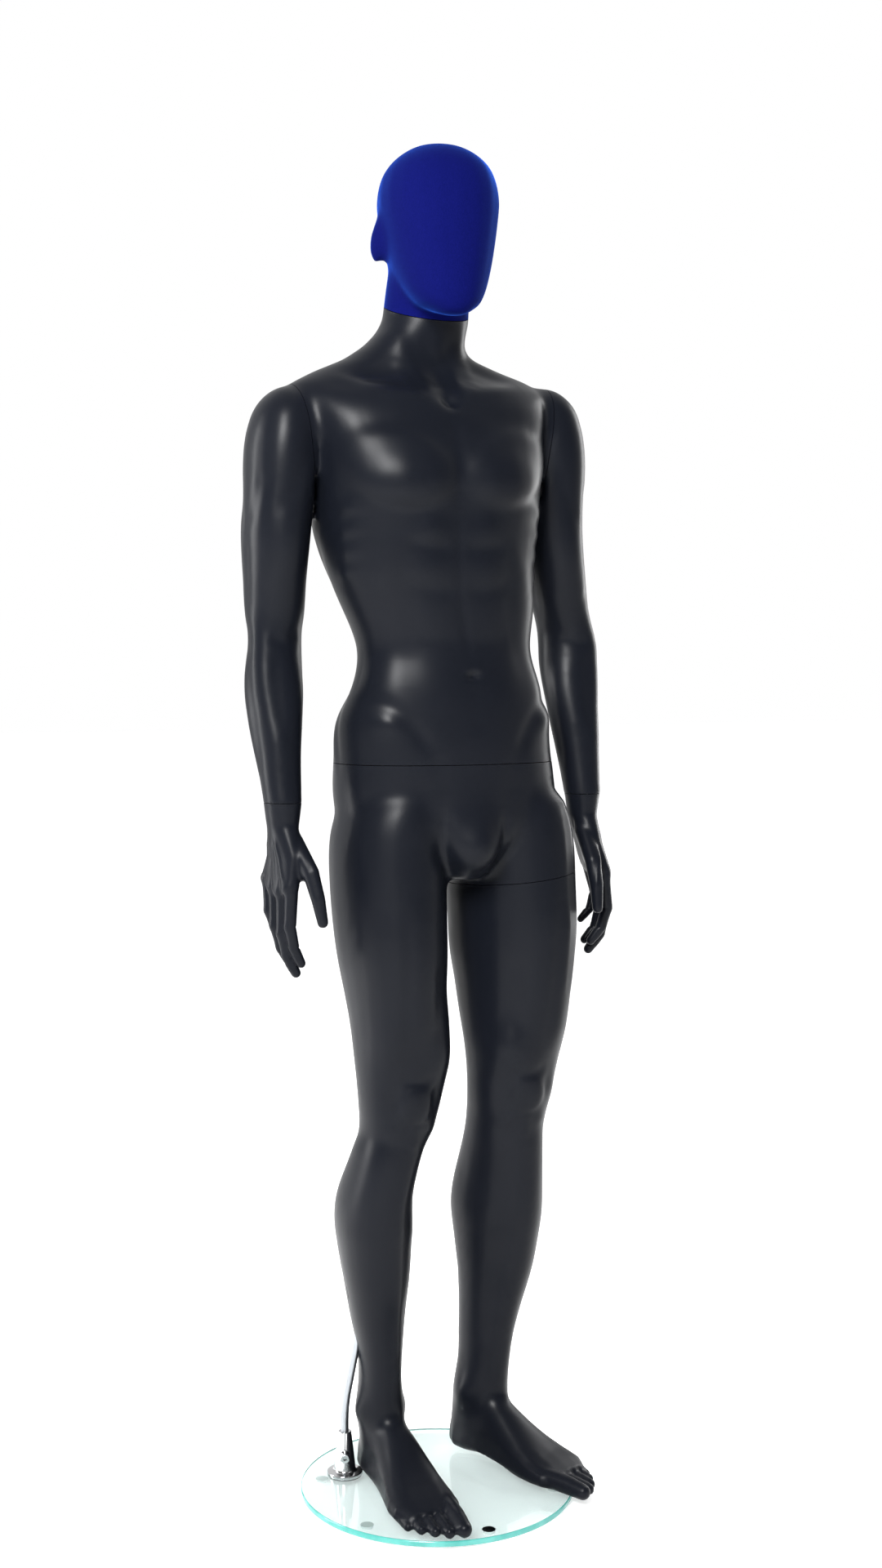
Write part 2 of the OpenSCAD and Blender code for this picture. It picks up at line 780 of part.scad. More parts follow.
module left_leg_plate() color(board) {
    on_stand() at_thigh()
        closing_plate(thigh_oval(wall + plate_gap), -1, hole_r = stud_d / 2 + 2)
            rotate([180, 0, 0]) screw_holes(17, 3, recess + plate_t + 3, 1);
}

module thigh_socket() color(fitting) {
    on_stand() at_thigh() rotate([180, 0, 0]) round_socket(stud_d / 2, 44, 23, 17, 3);
}

module thigh_socket_screws() color(steel) {
    on_stand() at_thigh() rotate([180, 0, 0]) screws(17, 3, recess + plate_t + 3, 1);
}

// ---- Torso -----------------------------------------------------------------------------------

module torso_shell() color(body_black) {
    on_stand() one_skin()
        difference() {
            intersection() {
                union() {
                    trunk_solid();
                    for (s = [right, left]) arm_solid(s, 1388);
                }
                translate([-300, -300, waist_z + seam_gap / 2]) cube([600, 600, 700]);
                at_neck() translate([-400, -900, -1500 - seam_gap / 2]) cube([800, 1800, 1500]);
            }
            for (s = [right, left]) {
                at_shoulder(s) translate([-70, -150, -seam_gap / 2]) cube([170, 300, 200]);
                at_shoulder(s) plate_pocket(oval(32, shoulder_oval[0], shoulder_oval[1]), -1);
                at_shoulder(s)
                    translate([0, 0, -60]) linear_extrude(61) polygon(oval(20, 38, 40));
            }
            trunk_hollow();
            at_waist() plate_pocket(waist_oval(wall), 1);
            at_neck() plate_pocket(oval(32, neck_oval[0], neck_oval[1]), -1);
        }
}

module torso_waist_plate() color(board) {
    on_stand() at_waist()
        closing_plate(waist_oval(wall + plate_gap), 1, hole_w = spigot_w + 3)
            screw_holes(27, 4, recess + plate_t + 3, 1);
}

module waist_socket() color(fitting) {
    z = recess + plate_t;
    inner = spigot_w + 0.3;
    on_stand() at_waist()
        difference() {
            union() {
                translate([0, 0, z]) cylinder(r = 34, h = 3);
                translate([-inner / 2 - 3, -inner / 2 - 3, z]) cube([inner + 6, inner + 6, spigot_len]);
            }
            translate([-inner / 2, -inner / 2, z - 1]) cube([inner, inner, spigot_len + 2]);
            screw_holes(27, 4, z + 3, 1);
        }
}

module waist_socket_screws() color(steel) {
    on_stand() at_waist() screws(27, 4, recess + plate_t + 3, 1);
}

module neck_plate() color(board) {
    on_stand() at_neck()
        closing_plate(oval(32, neck_oval[0] - plate_gap, neck_oval[1] - plate_gap), -1)
            screw_holes(17, 3, -recess + stud_flange_t, 1);
}

module neck_stud() color(fitting) {
    on_stand() at_neck() round_stud(stud_d / 2, 46, 23, 17, 3);
}

module neck_stud_screws() color(steel) {
    on_stand() at_neck() screws(17, 3, -recess + stud_flange_t, 1);
}

module shoulder_plate(side) color(board) {
    on_stand() at_shoulder(side) rotate([180, 0, 0])
        closing_plate(oval(32, shoulder_oval[0] - plate_gap, shoulder_oval[1] - plate_gap), 1,
                      hole_r = stud_d / 2 + 2)
            screw_holes(17, 3, recess + plate_t + 3, 1);
}
module left_shoulder_plate() shoulder_plate(left);
module right_shoulder_plate() shoulder_plate(right);

module shoulder_socket(side) color(fitting) {
    on_stand() at_shoulder(side) rotate([180, 0, 0]) round_socket(stud_d / 2, 36, 23, 17, 3);
}
module left_shoulder_socket() shoulder_socket(left);
module right_shoulder_socket() shoulder_socket(right);

module shoulder_screws() color(steel) {
    on_stand()
        for (s = [right, left]) at_shoulder(s) rotate([180, 0, 0]) screws(17, 3, recess + plate_t + 3, 1);
}

// ---- Arms and hands --------------------------------------------------------------------------

module arm_shell(side) color(body_black) {
    on_stand() one_skin()
        difference() {
            intersection() {
                arm_solid(side, wrist_z + seam_gap / 2);
                at_shoulder(side) translate([-700, -150, seam_gap / 2]) cube([800, 300, 300]);
            }
            arm_hollow(side);
            at_shoulder(side) plate_pocket(oval(32, shoulder_oval[0], shoulder_oval[1]), 1);
            at_wrist(side) plate_pocket(oval(24, wrist_oval[0], wrist_oval[1]), 1);
            at_wrist(side) translate([0, 0, -1]) linear_extrude(40) polygon(oval(24, 14, 16));
        }
}
module left_arm_shell() arm_shell(left);
module right_arm_shell() arm_shell(right);

module arm_plate(side) color(board) {
    on_stand() at_shoulder(side)
        closing_plate(oval(32, shoulder_oval[0] - plate_gap, shoulder_oval[1] - plate_gap), 1)
            rotate([180, 0, 0]) screw_holes(17, 3, -recess + stud_flange_t, 1);
}
module left_arm_plate() arm_plate(left);
module right_arm_plate() arm_plate(right);

module arm_stud(side) color(fitting) {
    on_stand() at_shoulder(side) rotate([180, 0, 0]) round_stud(stud_d / 2, 38, 23, 17, 3);
}
module left_arm_stud() arm_stud(left);
module right_arm_stud() arm_stud(right);

module arm_screws(side) color(steel) {
    on_stand() at_shoulder(side) rotate([180, 0, 0]) screws(17, 3, -recess + stud_flange_t, 1);
}
module left_arm_screws() arm_screws(left);
module right_arm_screws() arm_screws(right);

module wrist_socket(side) color(fitting) {
    on_stand() at_wrist(side)
        translate([0, 0, recess])
            difference() {
                union() {
                    linear_extrude(plate_t) polygon(oval(24, wrist_oval[0] - plate_gap, wrist_oval[1] - plate_gap));
                    cylinder(r = pin_d / 2 + 3.5, h = 30);
                }
                translate([0, 0, -1]) cylinder(r = pin_d / 2 + running, h = 33);
            }
}
module left_wrist_socket() wrist_socket(left);
module right_wrist_socket() wrist_socket(right);

module wrist_pin(side) color(fitting) {
    on_stand() at_wrist(side)
        translate([0, 0, -22])
            rotate_extrude()
                polygon([[0, 0], [pin_d / 2, 0], [pin_d / 2, 46], [pin_d / 2 - 2, 48], [0, 48]]);
}
module left_wrist_pin() wrist_pin(left);
module right_wrist_pin() wrist_pin(right);

// Hand form: fingers down, palm towards +X, thumb side towards -Y
// Fingers: knuckle Y, knuckle Z, three bone lengths, root radius, curl per bone
fingers = [
    [-31, -116, [47, 30, 24], 9.2, [4, 17, 15]],
    [-10, -122, [51, 33, 26], 9.6, [3, 17, 17]],
    [11, -118, [47, 31, 25], 9, [2, 19, 18]],
    [30, -108, [38, 25, 22], 8, [1, 21, 19]],
];

module bone(a, b, ra, rb) {
    hull() {
        translate(a) sphere(r = ra, $fn = 10);
        translate(b) sphere(r = rb, $fn = 10);
    }
}

// Chain of tapering bones that curl towards +X
module finger(p, lengths, r, curls, splay, curl, i = 0, a = 0) {
    if (i < len(lengths)) {
        b = a + curls[i] * curl;
        q = p + lengths[i] * [sin(b), sin(splay), -cos(b)];
        bone(p, q, r, r - 0.9);
        finger(q, lengths, r - 0.9, curls, splay, curl, i + 1, b);
    }
}

module palm_pad(p, size) {
    translate(p) scale(size) sphere(r = 1, $fn = 16);
}

// Hand below the wrist seam; bend tips it towards its back
module hand_form(bend, curl) {
    bend_z = -30;
    hull() {
        translate([0, 0, -0.8]) linear_extrude(0.5) polygon(oval(24, 24.4, 27.2));
        palm_pad([0, 0, bend_z], [20.5, 25, 13]);
    }
    translate([0, 0, bend_z]) rotate([0, bend, 0]) translate([0, 0, -bend_z]) {
        hull() {
            palm_pad([0, 0, bend_z], [20, 25, 13]);
            palm_pad([1, -5, -72], [15, 35, 16]);
        }
        hull() {
            palm_pad([1, -5, -72], [15, 35, 16]);
            for (f = fingers) translate([-1, f[0] * 0.97, f[1] + 6]) sphere(r = f[3] + 1.6, $fn = 10);
        }
        // ball of the thumb
        hull() {
            translate([7, -13, -48]) sphere(r = 14, $fn = 12);
            translate([16, -50, -90]) sphere(r = 11.5, $fn = 12);
            translate([9, -18, -92]) sphere(r = 10, $fn = 12);
        }
        bone([16, -50, -90], [22, -60, -122], 11.5, 9.8);
        bone([22, -60, -122], [29, -63, -153], 9.8, 7.6);
        for (i = [0 : len(fingers) - 1])
            finger([-1, fingers[i][0], fingers[i][1]], fingers[i][2], fingers[i][3], fingers[i][4],
                   6 - 4 * i, curl);
    }
}

function hand_turn(side) = side == left ? -10 : 10;
function hand_bend(side) = side == left ? 14 : 3;
module hand(side) color(body_black) {
    on_stand() at_wrist(side) one_skin()
        difference() {
            rotate([0, 0, hand_turn(side)])
                scale([-side, 1, 1]) hand_form(hand_bend(side), side == left ? 1.4 : 0.9);
            translate([0, 0, -22.3]) cylinder(r = pin_d / 2 + 0.3, h = 40, $fn = 24);
        }
}
module left_hand() hand(left);
module right_hand() hand(right);

// ---- Head ------------------------------------------------------------------------------------

head_mid = [0, -3];
head_turned = -8;
crown_z = 1830;
chin_z = 1594;

// Height, half width, front Y, back Y from the head's middle
head_stations = [
    [1594, 14, -88, -64],
    [1599, 27, -93, -42],
    [1608, 38, -96, -5],
    [1622, 49, -98, 30],
    [1642, 58, -100, 60],
    [1664, 65, -102, 80],
    [1690, 71, -103, 92],
    [1718, 76, -103, 99],
    [1748, 79.5, -101, 102],
    [1774, 77, -94, 99],
    [1795, 69, -81, 91],
    [1811, 55, -62, 74],
    [1822, 38, -40, 53],
    [1828, 22, -21, 33],
    [1830, 9, -6, 18],
];

function head_ring(z, k, inset) =
    let (s = at(head_stations, z), mid = (s[2] + s[3]) / 2, d = (s[3] - s[2]) / 2,
         low = max(0, 1 - (z - chin_z) / 40), high = max(0, (z - 1750) / (crown_z - 1750)),
         side = inset * (1 - 0.4 * max(low, high)))
    [for (q = oval(k, s[1] - side, d - side, 2.15)) [q[0], mid + q[1], z + inset * (low - high)]];

module skull(inset, k) {
    translate([head_mid[0], head_mid[1], 0]) rotate([0, 0, head_turned])
        loft([for (z = concat(levels(chin_z, 1786, 19), [1797, 1808, 1817, 1824, crown_z]))
            head_ring(z, k, inset)]);
    // collar down to the neck seam
    at_neck()
        loft([for (z = levels(-4, 62, 33))
            [for (q = oval(k, 57.4 - inset, 60 - inset)) concat(turned(q, 5), z)]]);
}

module ears(inset) {
    translate([head_mid[0], head_mid[1], 0]) rotate([0, 0, head_turned])
        for (s = [right, left])
            translate([s * 78, 22, 1702])
                rotate([12, 0, s * -14])
                    scale([12 - inset, 18 - inset, 33 - inset])
                        sphere(r = 1, $fn = 12);
}

module above_neck() {
    at_neck() translate([-300, -300, seam_gap / 2]) cube([600, 600, 500]);
}

module head_cover() color(velvet_blue) {
    on_stand() one_skin()
        difference() {
            intersection() {
                union() {
                    skull(0, 20);
                    ears(0);
                }
                above_neck();
            }
            skull(velvet_t, 20);
            ears(velvet_t);
        }
}

module head_core() color(body_black) {
    gap = velvet_t + 0.4;
    on_stand() one_skin()
        difference() {
            intersection() {
                union() {
                    skull(gap, 20);
                    ears(gap);
                }
                above_neck();
            }
            skull(velvet_t + wall + 3, 12);
            at_neck() plate_pocket(oval(32, neck_oval[0], neck_oval[1]), 1);
        }
}

module head_plate() color(board) {
    on_stand() at_neck()
        closing_plate(oval(32, neck_oval[0] - plate_gap, neck_oval[1] - plate_gap), 1,
                      hole_r = stud_d / 2 + 2);
}

module head_socket() color(fitting) {
    on_stand() at_neck() round_socket(stud_d / 2, 44, 23, 17, 0);
}

// ---- Assembly --------------------------------------------------------------------------------

glass_base();
base_pads();
rod_clamp();
flange_gasket();
base_bolt();
base_washer();
clamp_screw();
calf_rod();
lower_body_shell();
pelvis_plate();
waist_spigot();
waist_spigot_screws();
calf_socket_tube();
calf_collars();
hip_plate();
thigh_stud();
thigh_stud_screws();
left_leg_shell();
left_leg_plate();
thigh_socket();
thigh_socket_screws();
torso_shell();
torso_waist_plate();
waist_socket();
waist_socket_screws();
neck_plate();
neck_stud();
neck_stud_screws();
left_shoulder_plate();
right_shoulder_plate();
left_shoulder_socket();
right_shoulder_socket();
shoulder_screws();
left_arm_shell();
left_arm_plate();
left_arm_stud();
left_arm_screws();
left_wrist_socket();
right_arm_shell();
right_arm_plate();
right_arm_stud();
right_arm_screws();
right_wrist_socket();
left_hand();
left_wrist_pin();
right_hand();
right_wrist_pin();
head_core();
head_plate();
head_socket();
head_cover();
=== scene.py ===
"""Display mannequin on a glass stand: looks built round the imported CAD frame. Metres, row frame."""

import json
import math

import bmesh
import bpy
import numpy as np
import openvdb
from mathutils import Matrix, Vector


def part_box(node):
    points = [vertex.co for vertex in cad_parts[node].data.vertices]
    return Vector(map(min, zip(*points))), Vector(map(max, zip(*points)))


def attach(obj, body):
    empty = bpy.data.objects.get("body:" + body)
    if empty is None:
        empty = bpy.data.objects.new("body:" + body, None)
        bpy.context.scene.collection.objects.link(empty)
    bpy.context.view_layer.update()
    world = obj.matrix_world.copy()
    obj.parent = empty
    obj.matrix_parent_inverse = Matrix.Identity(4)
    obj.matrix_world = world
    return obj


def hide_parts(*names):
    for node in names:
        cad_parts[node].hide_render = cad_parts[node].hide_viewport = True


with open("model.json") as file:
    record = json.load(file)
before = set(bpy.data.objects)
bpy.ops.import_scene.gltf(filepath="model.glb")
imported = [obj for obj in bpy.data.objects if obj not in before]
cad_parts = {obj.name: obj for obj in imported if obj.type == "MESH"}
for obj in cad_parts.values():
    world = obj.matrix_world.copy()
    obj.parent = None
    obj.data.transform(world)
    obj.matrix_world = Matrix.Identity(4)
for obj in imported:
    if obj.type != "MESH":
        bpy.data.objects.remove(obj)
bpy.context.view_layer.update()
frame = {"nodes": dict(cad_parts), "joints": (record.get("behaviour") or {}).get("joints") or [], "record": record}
JOINTS = {j["name"]: j for j in frame["joints"]}
# Grid of the body's skin, grid of the hands' finer skin, and the width of a seam
VOXEL = 0.0027
FINE = 0.0014
GAP = 0.0009


def linked(data):
    """A new object for some data, in the scene."""
    obj = bpy.data.objects.new(data.name, data)
    bpy.context.scene.collection.objects.link(obj)
    return obj


# ---- Skins from the CAD shells ----


def soup(names, extra=()):
    """Points and triangles of several CAD nodes and extra meshes together."""
    points, faces, count = [], [], 0
    for mesh in [frame["nodes"][n].data for n in names] + list(extra):
        mesh.calc_loop_triangles()
        co = np.zeros(len(mesh.vertices) * 3, np.float32)
        mesh.vertices.foreach_get("co", co)
        tri = np.zeros(len(mesh.loop_triangles) * 3, np.int32)
        mesh.loop_triangles.foreach_get("vertices", tri)
        points.append(co.reshape(-1, 3))
        faces.append(tri.reshape(-1, 3) + count)
        count += len(mesh.vertices)
    return np.concatenate(points), np.concatenate(faces).astype(np.uint32)


def flood(air):
    """Air cells that can be reached from outside the box."""
    out = np.zeros_like(air)
    for axis in range(3):
        for side in (0, -1):
            face = [slice(None)] * 3
            face[axis] = side
            out[tuple(face)] = air[tuple(face)]
    before = -1
    while out.sum() != before:
        before = out.sum()
        for axis in range(3):
            o, a = np.moveaxis(out, axis, 0), np.moveaxis(air, axis, 0)
            for i in range(1, len(o)):
                o[i] |= o[i - 1] & a[i]
            for i in range(len(o) - 2, -1, -1):
                o[i] |= o[i + 1] & a[i]
    return out


def next_to(mask):
    """The mask and the cells that touch it."""
    near = mask.copy()
    for axis in range(3):
        n, m = np.moveaxis(near, axis, 0), np.moveaxis(mask, axis, 0)
        n[1:] |= m[:-1]
        n[:-1] |= m[1:]
    return near


def outer_skin(names, voxel, extra=()):
    """The outside of hollow CAD shells as points and quads, with the hollows and seams filled."""
    points, faces = soup(names, extra)
    scale = openvdb.createLinearTransform(voxelSize=voxel)
    grid = openvdb.FloatGrid.createLevelSetFromPolygons(
        points, triangles=faces, transform=scale, halfWidth=3.0
    )
    low, high = (np.array(c) for c in grid.evalActiveVoxelBoundingBox())
    low, high = low - 2, high + 3
    field = np.zeros(tuple(high - low), np.float32)
    grid.copyToArray(field, ijk=tuple(int(v) for v in low))
    # Air starts this far from a surface, so narrower seams are closed
    sealed = 0.0004
    outside = flood(field > sealed)
    hollow = ~outside & (field > sealed)
    field[hollow] = -3 * voxel
    rim = ~outside & (field > 0)
    field[rim & ~next_to(outside)] = -0.0001
    solid = openvdb.FloatGrid(3 * voxel)
    solid.copyFromArray(field, ijk=tuple(int(v) for v in low))
    solid.transform = scale
    co, quads = solid.convertToQuads(isovalue=0.0)
    return np.array(co, np.float64), np.array(quads, np.int64)


class Skin:
    """A quad surface that can be relaxed and sculpted."""

    def __init__(self, co, quads):
        self.co, self.quads = co, quads
        edges = np.sort(np.concatenate([quads[:, [i, (i + 1) % 4]] for i in range(4)]), axis=1)
        self.edges = np.unique(edges, axis=0)
        self.degree = np.bincount(self.edges.ravel(), minlength=len(co))

    def mean_of_neighbours(self, values):
        a, b = self.edges.T
        out = np.empty_like(values)
        for k in range(3):
            out[:, k] = np.bincount(a, values[b, k], len(values))
            out[:, k] += np.bincount(b, values[a, k], len(values))
        return out / np.maximum(self.degree, 1)[:, None]

    def relaxed(self, co, weight, rounds):
        co = co.copy()
        for _ in range(rounds):
            co += weight[:, None] * (self.mean_of_neighbours(co) - co)
        return co

    def relax(self, weight, rounds):
        """Smooths facets away, then gives back most of what that shrank."""
        once = self.relaxed(self.co, weight, rounds)
        lost = self.relaxed(self.co - once, weight, rounds)
        self.co = once + lost

    def normals(self):
        q = self.co[self.quads]
        n = np.cross(q[:, 2] - q[:, 0], q[:, 3] - q[:, 1])
        out = np.empty_like(self.co)
        for k in range(3):
            out[:, k] = sum(np.bincount(self.quads[:, i], n[:, k], len(self.co)) for i in range(4))
        return out / np.maximum(np.linalg.norm(out, axis=1), 1e-12)[:, None]

    def mesh(self):
        mesh = bpy.data.meshes.new("skin")
        mesh.from_pydata(self.co.tolist(), [], self.quads.tolist())
        return linked(mesh)


# ---- Sculpting: everything is placed in millimetres in one of five flat views ----

# Axis across the view, axis up it, depth axis and the side it is seen from:
# front, back, right, left and from below
VIEWS = {
    "F": (0, 2, 1, -1),
    "B": (0, 2, 1, 1),
    "R": (1, 2, 0, -1),
    "L": (1, 2, 0, 1),
    "D": (0, 1, 2, -1),
}


def facing(view, co, normals):
    """Place across the view, height, and how much each point faces the viewer."""
    across, up, depth, sign = VIEWS[view]
    toward = normals[:, depth] * sign
    seen = np.clip((toward - 0.05) / 0.35, 0, 1)
    return co[:, across] * 1000, co[:, up] * 1000, co[:, depth] * 1000 * sign, seen


def to_path(u, z, path):
    """Distance to a path of points, and how far along it from 0 to 1."""
    best, along = np.full(len(u), 1e9), np.zeros(len(u))
    steps = [math.dist(a, b) for a, b in zip(path, path[1:])]
    total, done = sum(steps), 0.0
    for a, b, step in zip(path, path[1:], steps):
        t = ((u - a[0]) * (b[0] - a[0]) + (z - a[1]) * (b[1] - a[1])) / step**2
        t = np.clip(t, 0, 1)
        d = np.hypot(u - a[0] - t * (b[0] - a[0]), z - a[1] - t * (b[1] - a[1]))
        near = d < best
        best[near] = d[near]
        along[near] = ((done + t * step) / total)[near]
        done += step
    return best, along


def smooth_path(points, count=24):
    """Catmull-Rom curve through the points."""
    p = [points[0]] + list(points) + [points[-1]]
    out = []
    for i in range(1, len(p) - 2):
        for k in range(max(2, count // (len(points) - 1))):
            t = k / max(2, count // (len(points) - 1))
            w = (
                -0.5 * t + t * t - 0.5 * t**3,
                1 - 2.5 * t * t + 1.5 * t**3,
                0.5 * t + 2 * t * t - 1.5 * t**3,
                -0.5 * t * t + 0.5 * t**3,
            )
            out.append(tuple(sum(w[j] * p[i - 1 + j][c] for j in range(4)) for c in (0, 1)))
    return out + [tuple(points[-1])]


def sculpt(skin, forms):
    """Each form is (kind, view, depth window, place, size, height)."""
    normals = skin.normals()
    seen = {v: facing(v, skin.co, normals) for v in VIEWS}
    push = np.zeros(len(skin.co))
    for kind, view, window, place, size, height in forms:
        u, z, depth, face = seen[view]
        keep = (face > 0) & (depth > window[0]) & (depth < window[1])
        if kind == "line":
            path = smooth_path(place)
            zs, us = [p[1] for p in path], [p[0] for p in path]
            reach = size * 3
            keep &= (z > min(zs) - reach) & (z < max(zs) + reach)
            keep &= (u > min(us) - reach) & (u < max(us) + reach)
            i = np.nonzero(keep)[0]
            d, along = to_path(u[i], z[i], path)
            ends = np.clip(np.minimum(along, 1 - along) / 0.18, 0, 1)
            shape = np.exp(-((d / size) ** 2)) * (0.15 + 0.85 * ends)
        else:
            ru, rz, turn = size
            reach = 3 * max(ru, rz)
            keep &= (np.abs(u - place[0]) < reach) & (np.abs(z - place[1]) < reach)
            i = np.nonzero(keep)[0]
            c, s = math.cos(math.radians(turn)), math.sin(math.radians(turn))
            du, dz = u[i] - place[0], z[i] - place[1]
            r = np.hypot((du * c + dz * s) / ru, (dz * c - du * s) / rz)
            if kind == "pad":
                shape = 1 / (1 + np.exp((r - 1) / 0.11))
            else:
                shape = np.exp(-(r**2))
        push[i] += height * shape * face[i]
    skin.co += normals * (push / 1000)[:, None]


# Depth windows, toward the viewer
ANY = (-999, 999)
FRONT = (20, 999)


def both(kind, view, window, place, size, height, lift=0.0):
    """The same form on each side of the trunk's middle line; lift raises the +X one."""
    out = []
    for s in (-1, 1):
        up = lift if s > 0 else 0
        if kind == "line":
            spot = [(middle(z) + s * u, z + up) for u, z in place]
            dims = size
        else:
            spot = (middle(place[1]) + s * place[0], place[1] + up)
            dims = (size[0], size[1], s * size[2])
        out.append((kind, view, window, spot, dims, height))
    return out


def gentle(forms, wide, high):
    """The same forms with their lines wider and shallower; pads and swellings keep their width."""
    out = []
    for kind, view, window, place, size, height in forms:
        if kind == "line":
            out.append((kind, view, window, place, size * wide, height * high))
        else:
            out.append((kind, view, window, place, size, height * (1 + high) / 2))
    return out


def middle(z):
    """X of the trunk's middle line at a height."""
    return float(np.interp(z, [900, 1050, 1130, 1200, 1290, 1500], [17, 14, 9, -3, -16, -17]))


CHEST_EDGE = [(158, 1414), (138, 1382), (112, 1362), (80, 1350), (48, 1350), (22, 1364)]
HIP_LINE = [(152, 1112), (134, 1103), (112, 1092), (92, 1074), (76, 1052), (62, 1026)]
COLLAR_BONE = [(18, 1496), (46, 1503), (84, 1509), (120, 1518), (146, 1527)]
SIDE_RIBS = ((-62, 1352), (-56, 1324), (-48, 1296), (-38, 1268))
SPINE = [(-9, 1570), (-15, 1480), (-17, 1400), (-14, 1300), (-2, 1200), (10, 1110), (15, 1050)]

TRUNK = (
    # chest
    both("pad", "F", FRONT, (84, 1404), (70, 47, 14), 7, 5)
    + both("soft", "F", FRONT, (80, 1388), (52, 34, 10), 5, 5)
    + both("line", "F", FRONT, CHEST_EDGE, 9, -4, 5)
    + both("line", "F", FRONT, [(28, 1480), (60, 1470), (100, 1462), (136, 1452)], 12, -2, 6)
    + [("line", "F", FRONT, [(-17, 1478), (-19, 1430), (-19, 1380), (-17, 1352)], 9, -4.5)]
    # ribs and stomach
    + both("line", "F", FRONT, [(22, 1342), (58, 1318), (92, 1282), (116, 1244)], 13, 3, 3)
    + both("soft", "F", FRONT, (36, 1322), (28, 19, 0), 4.5)
    + both("soft", "F", FRONT, (40, 1276), (34, 24, 0), 5)
    + both("soft", "F", FRONT, (36, 1216), (30, 32, 0), 3)
    + both("soft", "F", FRONT, (52, 1124), (36, 42, 0), 5)
    + both("line", "F", FRONT, [(8, 1299), (40, 1301), (72, 1308)], 7, -2.5)
    + both("line", "F", FRONT, [(8, 1247), (40, 1247), (76, 1256)], 8, -2.5)
    + both("line", "F", FRONT, [(10, 1180), (40, 1178), (66, 1184)], 9, -1.8)
    + both("line", "F", FRONT, [(66, 1320), (78, 1270), (74, 1210), (80, 1160), (86, 1120)], 11, -2.6)
    + [("line", "F", FRONT, [(-17, 1350), (-15, 1290), (-9, 1230), (3, 1175), (9, 1142)], 6.5, -3.4)]
    + [("line", "F", FRONT, [(11, 1126), (13, 1090), (15, 1055)], 9, -1.6)]
    + [("soft", "F", FRONT, (10, 1134), (9, 5, 0), -7)]
    + [("line", "F", FRONT, [(-4, 1143), (10, 1147), (24, 1142)], 5, 2)]
    # flanks, hip bones and the lines from them
    + both("soft", "F", ANY, (112, 1128), (30, 34, 0), 6)
    + both("line", "F", ANY, HIP_LINE, 8.5, -5.5)
    + both("soft", "F", ANY, (116, 1074), (19, 17, 0), 5)
    + both("line", "F", FRONT, [(64, 1030), (50, 1000), (40, 970), (36, 945)], 12, -2.5)
    + [("soft", "F", FRONT, (14, 1030), (46, 60, 0), 3)]
    # collar bones and neck
    + both("line", "F", ANY, COLLAR_BONE, 7.5, 5, 7)
    + both("soft", "F", ANY, (82, 1532), (34, 12, -12), -6, 8)
    + both("line", "F", ANY, [(52, 1606), (44, 1570), (31, 1535), (15, 1503)], 8.5, 5, 2)
    + both("line", "F", ANY, [(50, 1556), (48, 1530), (44, 1512)], 7, 3, 3)
    + [("soft", "F", ANY, (-16, 1496), (12, 11, 0), -9)]
    + [("soft", "F", ANY, (-15, 1535), (15, 30, 0), -4)]
    + [("soft", "F", ANY, (-11, 1568), (12, 16, 0), 4)]
    # side of the ribs
    + [("soft", v, (60, 185), rib, (17, 11, -20), 3.5) for v in "RL" for rib in SIDE_RIBS]
)

BACK = (
    [("line", "B", FRONT, SPINE, 13, -6)]
    + both("line", "B", FRONT, [(30, 1080), (34, 1150), (38, 1220), (36, 1290)], 17, 5)
    + both("line", "B", FRONT, [(52, 1330), (46, 1370), (50, 1420), (62, 1462)], 11, -4, 3)
    + both("pad", "B", FRONT, (92, 1398), (44, 58, 14), 4, 3)
    + both("line", "B", FRONT, [(70, 1468), (110, 1474), (150, 1486)], 12, 3.5, 5)
    + both("line", "B", FRONT, [(60, 1318), (100, 1310), (146, 1330)], 13, -2.5, 2)
    + both("soft", "B", FRONT, (34, 1062), (9, 8, 0), -3)
    + [("line", "B", FRONT, [(16, 1000), (17, 960), (18, 920), (18, 880)], 9, -12)]
    + both("soft", "B", FRONT, (66, 936), (50, 52, 0), 8)
    + both("line", "B", FRONT, [(24, 872), (52, 862), (86, 866), (116, 884)], 10, -5)
    + both("soft", "B", ANY, (128, 955), (22, 40, 0), -4)
)

GROIN = [
    ("soft", "F", FRONT, (13, 916), (32, 42, 0), 8),
    ("line", "F", ANY, [(-30, 962), (-31, 930), (-27, 900), (-12, 874), (4, 864)], 7, -5),
    ("line", "F", ANY, [(10, 864), (34, 874), (52, 894), (58, 926), (55, 958)], 7, -4.5),
    ("line", "F", FRONT, [(-50, 1010), (-48, 960), (-42, 915), (-30, 872)], 15, -3),
    ("line", "F", FRONT, [(78, 1010), (77, 960), (70, 915), (56, 876)], 15, -3),
]


